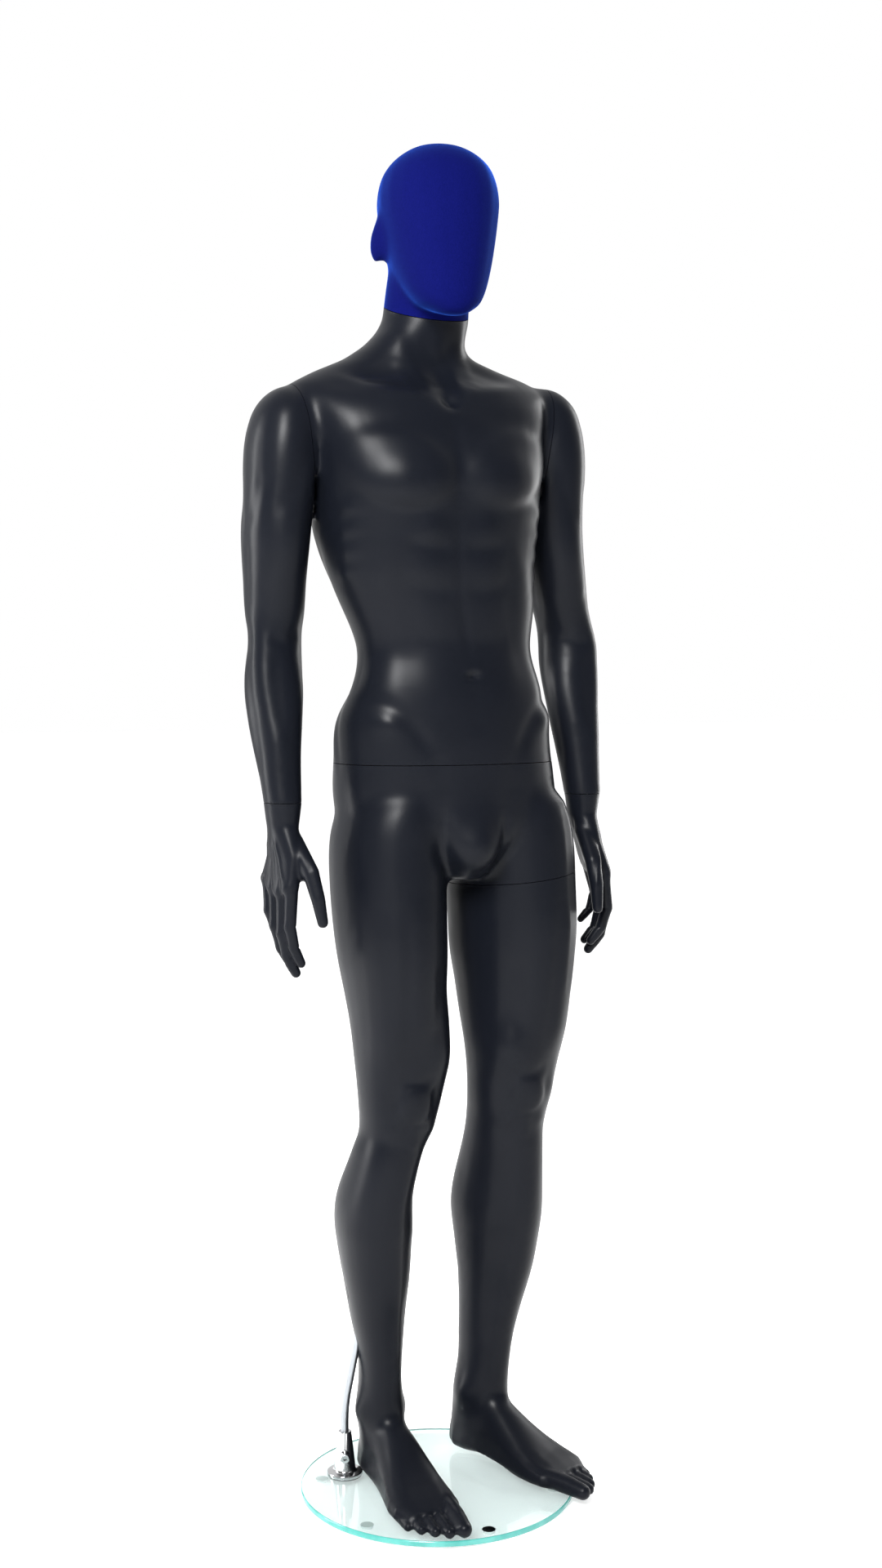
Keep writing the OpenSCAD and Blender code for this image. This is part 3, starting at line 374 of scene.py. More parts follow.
def leg_forms(side, knee, calf, lean):
    """Thigh, knee, calf and ankle of one leg; side is -1 or 1, and lean turns X with height."""

    def at(x, z):
        return (knee + lean * (z - 560) + side * x, z)

    def shin(x, z):
        return (float(np.interp(z, [90, 200, 385, 500, 560], calf)) + side * x, z)

    calf_edge = [shin(x, z) for x, z in ((-40, 300), (-18, 285), (0, 292), (20, 300), (38, 318))]
    return [
        # thigh: outer head, front, tear drop
        ("line", "F", ANY, [at(46, 830), at(48, 740), at(44, 660), at(34, 612)], 20, 3.5),
        ("line", "F", ANY, [at(4, 850), at(4, 760), at(2, 680), at(0, 630)], 22, 3),
        ("line", "F", ANY, [at(26, 820), at(27, 740), at(22, 660), at(16, 622)], 8, -2),
        ("line", "F", ANY, [at(-24, 760), at(-24, 690), at(-19, 640)], 9, -2),
        ("soft", "F", ANY, at(-34, 628), (19, 30, -12 * side), 5.5),
        ("soft", "F", ANY, at(36, 652), (18, 34, 10 * side), 3),
        # knee cap, its tendon and the hollows beside it
        ("pad", "F", ANY, at(0, 560), (23, 25, 0), 2.5),
        ("line", "F", ANY, [at(0, 534), at(0, 512), shin(-1, 496)], 8, 3),
        ("soft", "F", ANY, at(-30, 566), (11, 24, 0), -4),
        ("soft", "F", ANY, at(31, 566), (11, 24, 0), -4),
        ("soft", "F", ANY, at(-24, 524), (14, 11, 0), 3),
        ("soft", "F", ANY, at(24, 522), (14, 11, 0), 2.5),
        ("line", "F", ANY, [at(-26, 598), at(0, 590), at(26, 598)], 7, -2.5),
        # shin
        ("line", "F", ANY, [shin(-4, 492), shin(-6, 400), shin(-8, 300), shin(-9, 200), shin(-8, 140)], 8, 3),
        ("line", "F", ANY, [shin(12, 460), shin(12, 380), shin(8, 280), shin(4, 190)], 12, 2),
        # calf
        ("line", "B", ANY, [shin(0, 470), shin(0, 400), shin(1, 340)], 8, -3.5),
        ("soft", "B", ANY, shin(-22, 395), (20, 50, 0), 4),
        ("soft", "B", ANY, shin(23, 408), (19, 46, 0), 4),
        ("line", "B", ANY, calf_edge, 11, -3),
        ("line", "B", ANY, [shin(0, 270), shin(0, 180), shin(0, 100)], 8, 4),
        # back of the knee and thigh
        ("line", "B", ANY, [at(-30, 620), at(-32, 560), at(-28, 510)], 8, 4),
        ("line", "B", ANY, [at(30, 625), at(33, 560), at(30, 515)], 8, 4),
        ("soft", "B", ANY, at(0, 556), (22, 34, 0), -5),
        ("line", "B", ANY, [at(2, 820), at(2, 720), at(0, 640)], 11, -3),
        # ankle bones
        ("soft", "RL"[side > 0], ANY, (58, 104), (18, 18, 0), 3.5),
        ("soft", "LR"[side > 0], ANY, (50, 112), (18, 18, 0), 3.5),
    ]


RIGHT_LEG = leg_forms(-1, -57, [-61, -66, -82, -61, -57], 0.0)
LEFT_LEG = leg_forms(1, 109, [94, 104, 109, 106, 109], 0.012)


def arm_forms(side, line):
    """Shoulder, upper arm, elbow and forearm; line gives the arm's middle X by height."""

    def at(x, z):
        return (float(np.interp(z, *line)) + side * x, z)

    out = "L" if side > 0 else "R"
    return [
        # shoulder muscle and its borders
        ("line", "F", ANY, [at(-16, 1452), at(-10, 1410), at(4, 1370), at(20, 1338)], 9, -2.5),
        ("soft", "F", ANY, at(12, 1452), (26, 46, 0), 3),
        ("line", out, ANY, [(-18, 1400), (-2, 1360), (16, 1326)], 10, -2.5),
        ("line", out, ANY, [(60, 1400), (44, 1360), (24, 1326)], 10, -2.5),
        ("soft", out, ANY, (20, 1440), (40, 52, 0), 3),
        # front and back of the upper arm
        ("soft", "F", ANY, at(-2, 1296), (25, 52, 0), 4.5),
        ("soft", "B", ANY, at(4, 1330), (24, 50, 0), 4),
        ("line", out, ANY, [(18, 1316), (28, 1260), (38, 1214)], 8, -2.5),
        ("line", "B", ANY, [at(0, 1270), at(-2, 1220)], 10, -2),
        # elbow
        ("line", "F", ANY, [at(-22, 1192), at(0, 1178), at(20, 1186)], 8, -3.5),
        ("soft", "B", ANY, at(-4, 1176), (13, 16, 0), 5),
        ("soft", "B", ANY, at(-22, 1178), (9, 14, 0), -3),
        ("soft", "B", ANY, at(15, 1176), (9, 14, 0), -3),
        # forearm
        ("line", "F", ANY, [at(27, 1228), at(31, 1180), at(26, 1130), at(14, 1070), at(6, 1010)], 11, 4.5),
        ("line", "F", ANY, [at(10, 1170), at(12, 1120), at(4, 1060)], 8, -3),
        ("line", "F", ANY, [at(-18, 1160), at(-16, 1110), at(-8, 1050)], 13, 3.5),
        ("line", out, ANY, [(30, 1160), (22, 1110), (12, 1050), (6, 1000)], 7, -2.5),
        ("line", out, ANY, [(48, 1168), (40, 1110), (26, 1050), (16, 1000)], 9, 2.5),
    ]


RIGHT_ARM = ([940, 1080, 1140, 1180, 1250, 1320, 1500], [-224, -225, -221, -218.5, -221.5, -223, -209])
LEFT_ARM = ([940, 1080, 1140, 1180, 1250, 1320, 1500], [229, 226, 223, 222, 203, 184, 175])
ARMS = arm_forms(-1, RIGHT_ARM) + arm_forms(1, LEFT_ARM)

# Hollows under the arches
FEET = [("soft", "D", ANY, (88, 4), (20, 40, 24.6), -9), ("soft", "D", ANY, (-33, 5), (16, 36, -3), -5)]

# Each group of forms, with how wide and how high its lines are kept
FORMS = (
    gentle(TRUNK, 1.4, 0.42)
    + gentle(BACK, 1.2, 0.8)
    + gentle(GROIN, 1.35, 0.7)
    + gentle(RIGHT_LEG + LEFT_LEG, 1.2, 0.65)
    + gentle(ARMS, 1.25, 0.5)
    + FEET
)


# ---- Making solids and cutting them ----


def solid(bm):
    """A closed mesh object with its faces turned outward."""
    mesh = bpy.data.meshes.new("tool")
    bmesh.ops.recalc_face_normals(bm, faces=bm.faces)
    bm.to_mesh(mesh)
    bm.free()
    return linked(mesh)


def slab(centre, normal, radius, thick, sides=64):
    """Flat round disc across a seam."""
    bm = bmesh.new()
    bmesh.ops.create_cone(bm, cap_ends=True, segments=sides, radius1=radius, radius2=radius, depth=thick)
    turn = Vector(normal).to_track_quat("Z", "Y").to_matrix().to_4x4()
    bm.transform(Matrix.Translation(centre) @ turn)
    return solid(bm)


def cut(obj, tool, operation="DIFFERENCE"):
    """Applies a boolean to an object, and removes the tool."""
    mod = obj.modifiers.new("cut", "BOOLEAN")
    mod.operation, mod.object, mod.solver = operation, tool, "MANIFOLD"
    dg = bpy.context.evaluated_depsgraph_get()
    mesh = bpy.data.meshes.new_from_object(obj.evaluated_get(dg))
    obj.modifiers.clear()
    old, obj.data = obj.data, mesh
    bpy.data.meshes.remove(old)
    bpy.data.objects.remove(tool)
    return obj


def joined(objs):
    """One mesh out of several that don't touch."""
    bm = bmesh.new()
    for o in objs:
        bm.from_mesh(o.data)
        bpy.data.objects.remove(o)
    return solid(bm)


def pieces_of(obj):
    """The points of a mesh, and for each the lowest point number in its closed part."""
    mesh = obj.data
    n = len(mesh.vertices)
    co = np.zeros(n * 3, np.float32)
    mesh.vertices.foreach_get("co", co)
    co = co.reshape(-1, 3)
    edges = np.zeros(len(mesh.edges) * 2, np.int32)
    mesh.edges.foreach_get("vertices", edges)
    a, b = edges.reshape(-1, 2).T
    label = np.arange(n)
    while True:
        low = np.minimum(label[a], label[b])
        new = label.copy()
        np.minimum.at(new, a, low)
        np.minimum.at(new, b, low)
        new = new[new]
        new = new[new]
        if (new == label).all():
            break
        label = new
    return co, label


def split(obj, least=400):
    """Separates a mesh into new objects, the largest first, without scraps under least faces."""
    co, label = pieces_of(obj)
    faces = [tuple(p.vertices) for p in obj.data.polygons]
    owner = np.array([label[f[0]] for f in faces])
    kinds, counts = np.unique(owner, return_counts=True)
    out = []
    for kind in kinds[np.argsort(-counts)]:
        mine = np.nonzero(owner == kind)[0]
        if len(mine) < least:
            continue
        used = np.nonzero(label == kind)[0]
        new = np.zeros(len(co), np.int64)
        new[used] = np.arange(len(used))
        mesh = bpy.data.meshes.new("part")
        mesh.from_pydata(co[used].tolist(), [], [[int(new[v]) for v in faces[i]] for i in mine])
        out.append((linked(mesh), co[used].mean(0)))
    bpy.data.objects.remove(obj)
    return out


def outline(node, centre, normal, grow):
    """Convex outline of a plate seen along a seam's normal, grown a little."""
    turn = Vector(normal).to_track_quat("Z", "Y").to_matrix().to_4x4()
    place = Matrix.Translation(centre) @ turn
    inverse = place.inverted()
    pts = [inverse @ v.co for v in frame["nodes"][node].data.vertices]
    pts = sorted({(round(p.x, 5), round(p.y, 5)) for p in pts})

    def half(points):
        out = []
        for p in points:
            while len(out) > 1 and (
                (out[-1][0] - out[-2][0]) * (p[1] - out[-2][1])
                - (out[-1][1] - out[-2][1]) * (p[0] - out[-2][0])
            ) <= 0:
                out.pop()
            out.append(p)
        return out

    ring = half(pts)[:-1] + half(pts[::-1])[:-1]
    mid = np.mean(ring, axis=0)
    ring = [mid + (np.array(p) - mid) * (1 + grow / np.linalg.norm(np.array(p) - mid)) for p in ring]
    return place, ring


def prism(place, ring, z0, z1):
    """Block with an outline, between two heights in its own frame."""
    bm = bmesh.new()
    low = [bm.verts.new((p[0], p[1], z0)) for p in ring]
    high = [bm.verts.new((p[0], p[1], z1)) for p in ring]
    n = len(ring)
    bm.faces.new(low[::-1])
    bm.faces.new(high)
    for i in range(n):
        bm.faces.new((low[i], low[(i + 1) % n], high[(i + 1) % n], high[i]))
    bm.transform(place)
    return solid(bm)


# ---- Body ----

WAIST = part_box("torso_shell")[0].z - 0.00025
ROD_WAY = Vector(JOINTS["lift_off_base"]["axis"]).normalized()
# From part.scad: where the rod bends, and the middle of the waist plates
ROD_KNEE = Vector((-0.108, 0.075, 0.112))
WAIST_AT = Vector((0.013, 0.006, WAIST))
DOWN, UP = Vector((0, 0, -1)), Vector((0, 0, 1))
# Slot of the calf shell beside the rod's tube
CALF_SLOT = ((-0.13, 0.0502, 0.271), (-0.111, 0.0518, 0.29))
# Room round a closing plate, and how far the skin stays outside the shoulder plates
PLATE_ROOM = 0.0004
SHOULDER_ROOM = 0.0035
# Radius of the room for a stud's socket, and how near the seam every such cut starts
SOCKET_R = 0.0245
START = 0.004


def joint_at(name):
    """Place and direction of a joint."""
    return Vector(JOINTS[name]["pos_m"]), Vector(JOINTS[name]["axis"]).normalized()


def drum(centre, way, radius, low, high, sides=48):
    """Cylinder along a direction, from low to high past a point."""
    way = Vector(way)
    return slab(Vector(centre) + way * (low + high) / 2, way, radius, high - low, sides)


def block(low, high):
    """Box between two corners."""
    bm = bmesh.new()
    bmesh.ops.create_cube(bm, size=1)
    low, high = Vector(low), Vector(high)
    bm.transform(Matrix.Translation((low + high) / 2) @ Matrix.Diagonal((*(high - low), 1)))
    return solid(bm)


def by_height(co, table):
    """A value for each point from a table of height in millimetres and value."""
    return np.interp(co[:, 2] * 1000, [t[0] for t in table], [t[1] for t in table])


# Height in millimetres, and how strongly the skin is smoothed there
RELAX = [
    (30, 0.02),
    (50, 0.08),
    (75, 0.5),
    (110, 0.9),
    (170, 0.7),
    (300, 0.5),
    (560, 0.6),
    (850, 0.9),
    (1590, 0.9),
    (1615, 0.5),
]


def calf_plugs():
    """Solid slices of the calf where the rod goes in, one between each two rings of the CAD shell."""
    shell = frame["nodes"]["lower_body_shell"].data
    points = [v.co for v in shell.vertices if v.co.x < 0.02 and 0.11 < v.co.z < 0.31]
    counts = {}
    for p in points:
        z = round(p.z, 5)
        counts[z] = counts.get(z, 0) + 1
    rings = sorted(z for z, n in counts.items() if n > 12)
    out = []
    for low, high in zip(rings, rings[1:]):
        bm = bmesh.new()
        for p in points:
            if low - 0.0001 < p.z < high + 0.0001:
                bm.verts.new(p)
        bmesh.ops.convex_hull(bm, input=bm.verts, use_existing_faces=False)
        bmesh.ops.delete(bm, geom=[v for v in bm.verts if not v.link_faces], context="VERTS")
        out.append(solid(bm))
    return out


def shoulder_plugs():
    """Closed blocks round the shoulder plates, so that the skin covers them with room to spare."""
    out = []
    for side in ("left", "right"):
        at, way = joint_at(side + "_arm_swing")
        for node in (side + "_shoulder_plate", side + "_arm_plate"):
            place, ring = outline(node, at, way, SHOULDER_ROOM)
            out.append(prism(place, ring, -0.012, 0.012))
    return out


def soften(skin):
    """Rounds the ankles, and lets the cover run smoothly over the ears."""
    x, z = skin.co[:, 0], skin.co[:, 2] * 1000
    ankle = np.interp(z, [55, 85, 150, 190], [0, 0.9, 0.9, 0])
    beside = np.interp(np.abs(x + 0.004), [0.055, 0.068], [0, 0.9])
    ear = beside * np.interp(z, [1625, 1655, 1735, 1760], [0, 1, 1, 0])
    skin.co = skin.relaxed(skin.co, ankle, 40)
    skin.co = skin.relaxed(skin.co, ear, 45)


def clear_of_plates(skin):
    """Keeps the skin outside the shoulder plates near the arm seams."""
    for side in ("left", "right"):
        at, way = joint_at(side + "_arm_swing")
        place, ring = outline(side + "_shoulder_plate", at, way, SHOULDER_ROOM)
        turn = np.array(place.to_3x3())
        local = (skin.co - np.array(place.translation)) @ turn
        angle = np.array([math.atan2(p[1], p[0]) for p in ring])
        radius = np.array([math.hypot(p[0], p[1]) for p in ring])
        order = np.argsort(angle)
        have = np.hypot(local[:, 0], local[:, 1])
        need = np.interp(
            np.arctan2(local[:, 1], local[:, 0]), angle[order], radius[order], period=2 * math.pi
        )
        near = np.clip((0.032 - np.abs(local[:, 2])) / 0.014, 0, 1)
        short = np.where((have < need) & (have > 0.5 * need), need - have, 0) * near
        grow = 1 + short / np.maximum(have, 1e-6)
        local[:, :2] *= grow[:, None]
        skin.co = local @ turn.T + np.array(place.translation)


def body_skin():
    shells = [n for n in frame["nodes"] if n.endswith("_shell")]
    names = shells + ["left_hand", "right_hand", "head_cover", "head_core", "head_plate", "head_socket"]
    names += ["left_wrist_socket", "right_wrist_socket", "neck_stud", "neck_plate"]
    plugs = calf_plugs() + shoulder_plugs()
    skin = Skin(*outer_skin(names, VOXEL, [p.data for p in plugs]))
    for plug in plugs:
        bpy.data.objects.remove(plug)
    co = skin.co
    aside = np.abs(co[:, 0] + 0.017) > 0.165 + 0.02 * (co[:, 2] > 1.40)
    arm = aside & (co[:, 2] < 1.53) & (co[:, 2] > 0.7)
    weight = np.where(arm, np.where(co[:, 2] < 0.99, 0.05, 0.35), by_height(co, RELAX))
    weight = skin.relaxed(np.repeat(weight[:, None], 3, 1), np.full(len(co), 0.9), 12)[:, 0]
    skin.relax(weight, 45)
    soften(skin)
    sculpt(skin, FORMS)
    clear_of_plates(skin)
    skin.relax(np.full(len(co), 0.35), 3)
    return skin


def thigh_slab():
    """The cut across the top of the left thigh, square to its joint."""
    at, way = joint_at("left_leg_turn")
    tool = block((-0.094, -0.16, -GAP / 2), (0.14, 0.16, GAP / 2))
    turn = UP.rotation_difference(way).to_matrix().to_4x4()
    tool.data.transform(Matrix.Translation(at) @ turn)
    return tool


def seam_slabs():
    """All the cuts that part the figure, as one tool."""
    half = GAP / 2
    neck, neck_way = joint_at("head_turn")
    tools = [
        block((-0.165, -0.16, WAIST - half), (0.185, 0.17, WAIST + half)),
        thigh_slab(),
        slab(neck, neck_way, 0.12, GAP),
    ]
    for side in ("right", "left"):
        at, way = joint_at(side + "_arm_swing")
        tools.append(slab(at, way, 0.175, GAP))
        at, way = joint_at(side + "_hand_turn")
        tools.append(slab(at, way, 0.040, GAP))
    return joined(tools)


def recess(obj, node, centre, way, depth=0.0089):
    """Room for the closing plate behind a seam."""
    place, ring = outline(node, centre, way, PLATE_ROOM)
    return cut(obj, prism(place, ring, -START, depth))


def body_parts(skin):
    """Cuts the whole figure at its seams: piece name to object."""
    whole = cut(skin.mesh(), seam_slabs())
    out = {}
    for part, mid in split(whole):
        x, z = mid[0], mid[2]
        if z > 1.65:
            out["head"] = part
        elif abs(x + 0.01) > 0.19 and z < 0.93:
            bpy.data.objects.remove(part)
        elif abs(x + 0.01) > 0.19:
            out[("left" if x > 0 else "right") + "_arm"] = part
        elif z > 1.05:
            out["torso"] = part
        else:
            out["left_leg" if x > 0.07 else "lower_body"] = part
    return out


def open_seams(parts):
    """Recesses for the plates and room for the sockets, studs, rod and collars inside."""
    recess(parts["lower_body"], "pelvis_plate", WAIST_AT, DOWN)
    recess(parts["torso"], "torso_waist_plate", WAIST_AT, UP)
    cut(parts["torso"], drum(WAIST_AT, UP, 0.0352, START, 0.0725))
    at, way = joint_at("left_leg_turn")
    recess(parts["lower_body"], "hip_plate", at, way)
    recess(parts["left_leg"], "left_leg_plate", at, -way)
    cut(parts["left_leg"], drum(at, -way, SOCKET_R, START, 0.054))
    at, way = joint_at("head_turn")
    recess(parts["torso"], "neck_plate", at, -way)
    for side in ("left", "right"):
        at, way = joint_at(side + "_arm_swing")
        out = way if way.x * (1 if side == "left" else -1) > 0 else -way
        recess(parts["torso"], side + "_shoulder_plate", at, -out)
        cut(parts["torso"], drum(at, -out, SOCKET_R, START, 0.046))
        recess(parts[side + "_arm"], side + "_arm_plate", at, out)
        at, _ = joint_at(side + "_hand_turn")
        recess(parts[side + "_arm"], side + "_wrist_socket", at, UP)
        cut(parts[side + "_arm"], drum(at, UP, 0.0089, START, 0.0335))
    leg = parts["lower_body"]
    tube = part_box("calf_socket_tube")
    start = (tube[0].z + 0.0015 - ROD_KNEE.z) / ROD_WAY.z
    cut(leg, drum(ROD_KNEE, ROD_WAY, 0.0072, 0.02, start))
    cut(leg, drum(ROD_KNEE, ROD_WAY, 0.0094, start - 0.002, start + 0.114))
    cut(leg, block(*CALF_SLOT))
    for low in (0.0515, 0.0915):
        cut(leg, drum(ROD_KNEE, ROD_WAY, 0.0214, start + low, start + low + 0.015))


# ---- Hands ----

# Knuckle place across the hand, knuckle height, bone lengths, bend of each bone
FINGERS = (
    (-31, -116, (47, 30, 24), (4, 17, 15)),
    (-10, -122, (51, 33, 26), (3, 17, 17)),
    (11, -118, (47, 31, 25), (2, 19, 18)),
    (30, -108, (38, 25, 22), (1, 21, 19)),
)
# X of the thumb's ridge at three heights, right and left
THUMB = {-1: (-205, -197, -192), 1: (228, 218, 212)}
THUMB_HEIGHTS = (900, 862, 838)


def hand_forms(side):
    """Knuckles, sinews, finger creases and nails on the back, pads on the palm."""
    back, palm = ("L", "R") if side > 0 else ("R", "L")
    curl, shift = (1.4, -3) if side > 0 else (0.9, 1)
    out = []
    for i, (y, z, bones, bends) in enumerate(FINGERS):

        def at(dy, dz):
            return (shift + 0.985 * dy, 968 + dz)

        out.append(("soft", back, ANY, at(y, z + 5), (7, 8, 0), 2.2))
        out.append(("line", back, ANY, [at(y * 0.35, -46), at(y * 0.7, -84), at(y, z + 10)], 3.2, 1.3))
        angle, joint, lean = 0, z, math.tan(math.radians(6 - 4 * i))
        for length, bend in zip(bones[:2], bends):
            angle += bend * curl
            joint -= length * math.cos(math.radians(angle))
            spot = y + (joint - z) * -lean
            out.append(("soft", back, ANY, at(spot, joint), (6, 6, 0), 0.9))
            out.append(("line", palm, ANY, [at(spot - 7, joint + 1), at(spot + 7, joint + 1)], 1.6, -0.9))
        angle += bends[2] * curl
        joint -= bones[2] * math.cos(math.radians(angle)) * 0.72
        out.append(("pad", back, ANY, at(y - (joint - z) * lean, joint), (4.4, 6, 0), 0.55))
    for i in range(3):
        y = (FINGERS[i][0] + FINGERS[i + 1][0]) / 2
        out.append(("line", back, ANY, [(shift + y, 872), (shift + y, 846)], 3, -1.3))
    out += [
        ("line", palm, ANY, [(-30, 868), (-10, 872), (8, 862), (20, 846)], 2.2, -1),
        ("line", palm, ANY, [(-34, 880), (-14, 892), (-4, 916), (-6, 934)], 2.4, -1.2),
        ("soft", palm, ANY, (22, 892), (13, 30, 0), 2.5),
        ("line", "F", ANY, list(zip(THUMB[side], THUMB_HEIGHTS)), 4, 1.5),
    ]
    return out


def hand(side, name):
    """One hand from a finer skin of the hand and the end of its arm."""
    nodes = [name + "_hand", name + "_arm_shell", name + "_wrist_socket"]
    skin = Skin(*outer_skin(nodes, FINE))
    low = skin.co[:, 2] * 1000
    weight = np.interp(low, [700, 760, 900, 940, 990], [0.35, 0.35, 0.5, 0.9, 0.9])
    skin.relax(weight, 26)
    sculpt(skin, hand_forms(side))
    skin.relax(np.full(len(low), 0.3), 3)
    at, way = joint_at(name + "_hand_turn")
    obj = cut(skin.mesh(), block((-0.4, -0.3, at.z - GAP / 2), (0.4, 0.3, 1.7)))
    return cut(obj, drum(at, (0, 0, -1), 0.0053, -0.004, 0.0226))


# ---- Head ----


# Thickness of the cover, and how far the hard head's skin is inside the cover's outside
COVER = 0.0013
INSIDE = 0.0017


def shrunk(obj, t, drop):
    """A copy of the cut head, t smaller all round; its flat underside drops."""
    at, way = joint_at("head_turn")
    mesh = obj.data.copy()
    n = len(mesh.vertices)
    co, normal = np.zeros(n * 3), np.zeros(n * 3)
    mesh.vertices.foreach_get("co", co)
    mesh.vertex_normals.foreach_get("vector", normal)
    co, normal = co.reshape(-1, 3), normal.reshape(-1, 3)
    axis = np.array(way)
    flat = np.abs((co - np.array(at)) @ axis - GAP / 2) < 2e-5
    normal[flat] -= (normal[flat] @ axis)[:, None] * axis
    normal[flat] /= np.maximum(np.linalg.norm(normal[flat], axis=1), 1e-9)[:, None]
    co -= normal * t
    co[flat] -= axis * drop
    mesh.vertices.foreach_set("co", co.ravel())
    return linked(mesh)


def head_and_cover(head):
    """The hard head, and the stretched velvet cover over it."""
    at, way = joint_at("head_turn")
    core = shrunk(head, INSIDE, 0)
    cover = cut(head, shrunk(head, COVER, START))
    recess(core, "head_plate", at, way)
    cut(core, drum(at, way, SOCKET_R, START, 0.054))
    return core, cover


# ---- Stand ----

CLAMP_AT = tuple(JOINTS["clamp_screw_turn"]["pos_m"][:2])
CLAMP_WAY = Vector(JOINTS["clamp_screw_turn"]["axis"]).normalized()
SCREW_Z = JOINTS["clamp_screw_turn"]["pos_m"][2]
ROD_R = 0.0055
GLASS_BEVEL = 0.0012


def lathe(profile, place=None, sides=96):
    """Turned solid from (radius, height) points, first and last on the axis."""
    bm = bmesh.new()
    rings = []
    for r, z in profile:
        if r < 1e-6:
            rings.append([bm.verts.new((0, 0, z))])
            continue
        turn = [2 * math.pi * i / sides for i in range(sides)]
        rings.append([bm.verts.new((r * math.cos(a), r * math.sin(a), z)) for a in turn])
    for low, high in zip(rings, rings[1:]):
        for i in range(sides):
            k = (i + 1) % sides
            ring = [low[i % len(low)], low[k % len(low)], high[k % len(high)], high[i % len(high)]]
            bm.faces.new(list(dict.fromkeys(ring)))
    bm.transform(place or Matrix.Identity(4))
    return solid(bm)


def rounded(points, radius, steps=4):
    """Profile with every corner between its ends rounded."""
    out = [points[0]]
    for a, b, c in zip(points, points[1:], points[2:]):
        a, b, c = Vector(a), Vector(b), Vector(c)
        cut_at = min(radius, (a - b).length * 0.45, (c - b).length * 0.45)
        p, q = b + (a - b).normalized() * cut_at, b + (c - b).normalized() * cut_at
        for i in range(steps + 1):
            t = i / steps
            out.append(tuple(p * (1 - t) ** 2 + b * 2 * t * (1 - t) + q * t * t))
    return out + [points[-1]]


def tube(path, radius, sides=40):
    """Round bar along a path."""
    bm = bmesh.new()
    rings, side = [], Vector((1, 0, 0))
    for i, p in enumerate(path):
        way = (path[min(i + 1, len(path) - 1)] - path[max(i - 1, 0)]).normalized()
        side = (side - way * side.dot(way)).normalized()
        other = way.cross(side)
        ends = i in (0, len(path) - 1)
        r = radius - (0.0006 if ends else 0)
        turn = [2 * math.pi * k / sides for k in range(sides)]
        rings.append([bm.verts.new(p + (side * math.cos(a) + other * math.sin(a)) * r) for a in turn])
    for low, high in zip(rings, rings[1:]):
        for k in range(sides):
            bm.faces.new((low[k], low[(k + 1) % sides], high[(k + 1) % sides], high[k]))
    bm.faces.new(rings[0][::-1])
    bm.faces.new(rings[-1])
    return solid(bm)


def glass_disc():
    """Bevelled disc with a hole for the bolt."""
    low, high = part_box("glass_base")
    r, h = high.x, high.z - low.z
    b = GLASS_BEVEL
    profile = [(0, 0), (r - b, 0), (r, b), (r, h - b), (r - b, h), (0, h)]
    disc = lathe(rounded(profile, 0.0009, 3), Matrix.Translation((0, 0, low.z)), 256)
    hole = drum((*CLAMP_AT, low.z), (0, 0, 1), 0.006, -0.01, 0.03)
    return cut(disc, hole)


def clamp():
    """Chrome cone on a flange, split down the front above the screw."""
    low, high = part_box("rod_clamp")
    h = high.z - low.z
    r = (high.y - low.y) / 2
    points = [(0, 0), (r, 0), (r, 0.0052), (0.0172, 0.0062), (0.0152, 0.0082), (0.0093, h), (0, h)]
    cone = lathe(rounded(points, 0.0011), Matrix.Translation((*CLAMP_AT, low.z)), 128)
    axis = (*CLAMP_AT, SCREW_Z)
    boss = drum(axis, CLAMP_WAY, 0.0065, 0.004, 0.018)
    cut(cone, boss, "UNION")
    cut(cone, drum((*CLAMP_AT, low.z), (0, 0, 1), ROD_R + 0.00006, 0.012, h + 0.01))
    cut(cone, drum((*CLAMP_AT, low.z), (0, 0, 1), 0.0041, -0.01, 0.011))
    cut(cone, drum(axis, CLAMP_WAY, 0.0031, 0.004, 0.03))
    slot = block((0, -0.0007, SCREW_Z + 0.009), (0.03, 0.0007, high.z + 0.01))
    turn = Matrix.Rotation(math.atan2(CLAMP_WAY.y, CLAMP_WAY.x), 4, "Z")
    slot.data.transform(Matrix.Translation((*CLAMP_AT, 0)) @ turn)
    return cut(cone, slot)


def clamp_screw():
    """Round-headed screw with a hexagon socket."""
    turn = CLAMP_WAY.to_track_quat("Z", "Y").to_matrix().to_4x4()
    place = Matrix.Translation((*CLAMP_AT, SCREW_Z)) @ turn
    points = [(0, 0.0058), (0.003, 0.0058), (0.003, 0.0185), (0.007, 0.0185)]
    points += [(0.007, 0.0236), (0.0058, 0.0254), (0, 0.0255)]
    screw = lathe(rounded(points, 0.0007), place, 96)
    return cut(screw, drum((*CLAMP_AT, SCREW_Z), CLAMP_WAY, 0.0026, 0.0228, 0.03, 6))


def rod():
    """Steel bar with a smooth bend into the calf."""
    low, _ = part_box("calf_rod")
    knee, reach = ROD_KNEE, 0.024
    top = max((v.co for v in frame["nodes"]["calf_rod"].data.vertices), key=lambda c: c.dot(ROD_WAY))
    length = (top - knee).dot(ROD_WAY)
    a, b = knee - Vector((0, 0, reach)), knee + ROD_WAY * reach
    path = [Vector((knee.x, knee.y, low.z)), Vector((knee.x, knee.y, low.z + 0.0006))]
    path += [a * (1 - t) ** 2 + knee * 2 * t * (1 - t) + b * t * t for t in [i / 16 for i in range(17)]]
    path += [knee + ROD_WAY * (length - 0.0006), knee + ROD_WAY * length]
    return tube(path, ROD_R)


# ---- Materials ----


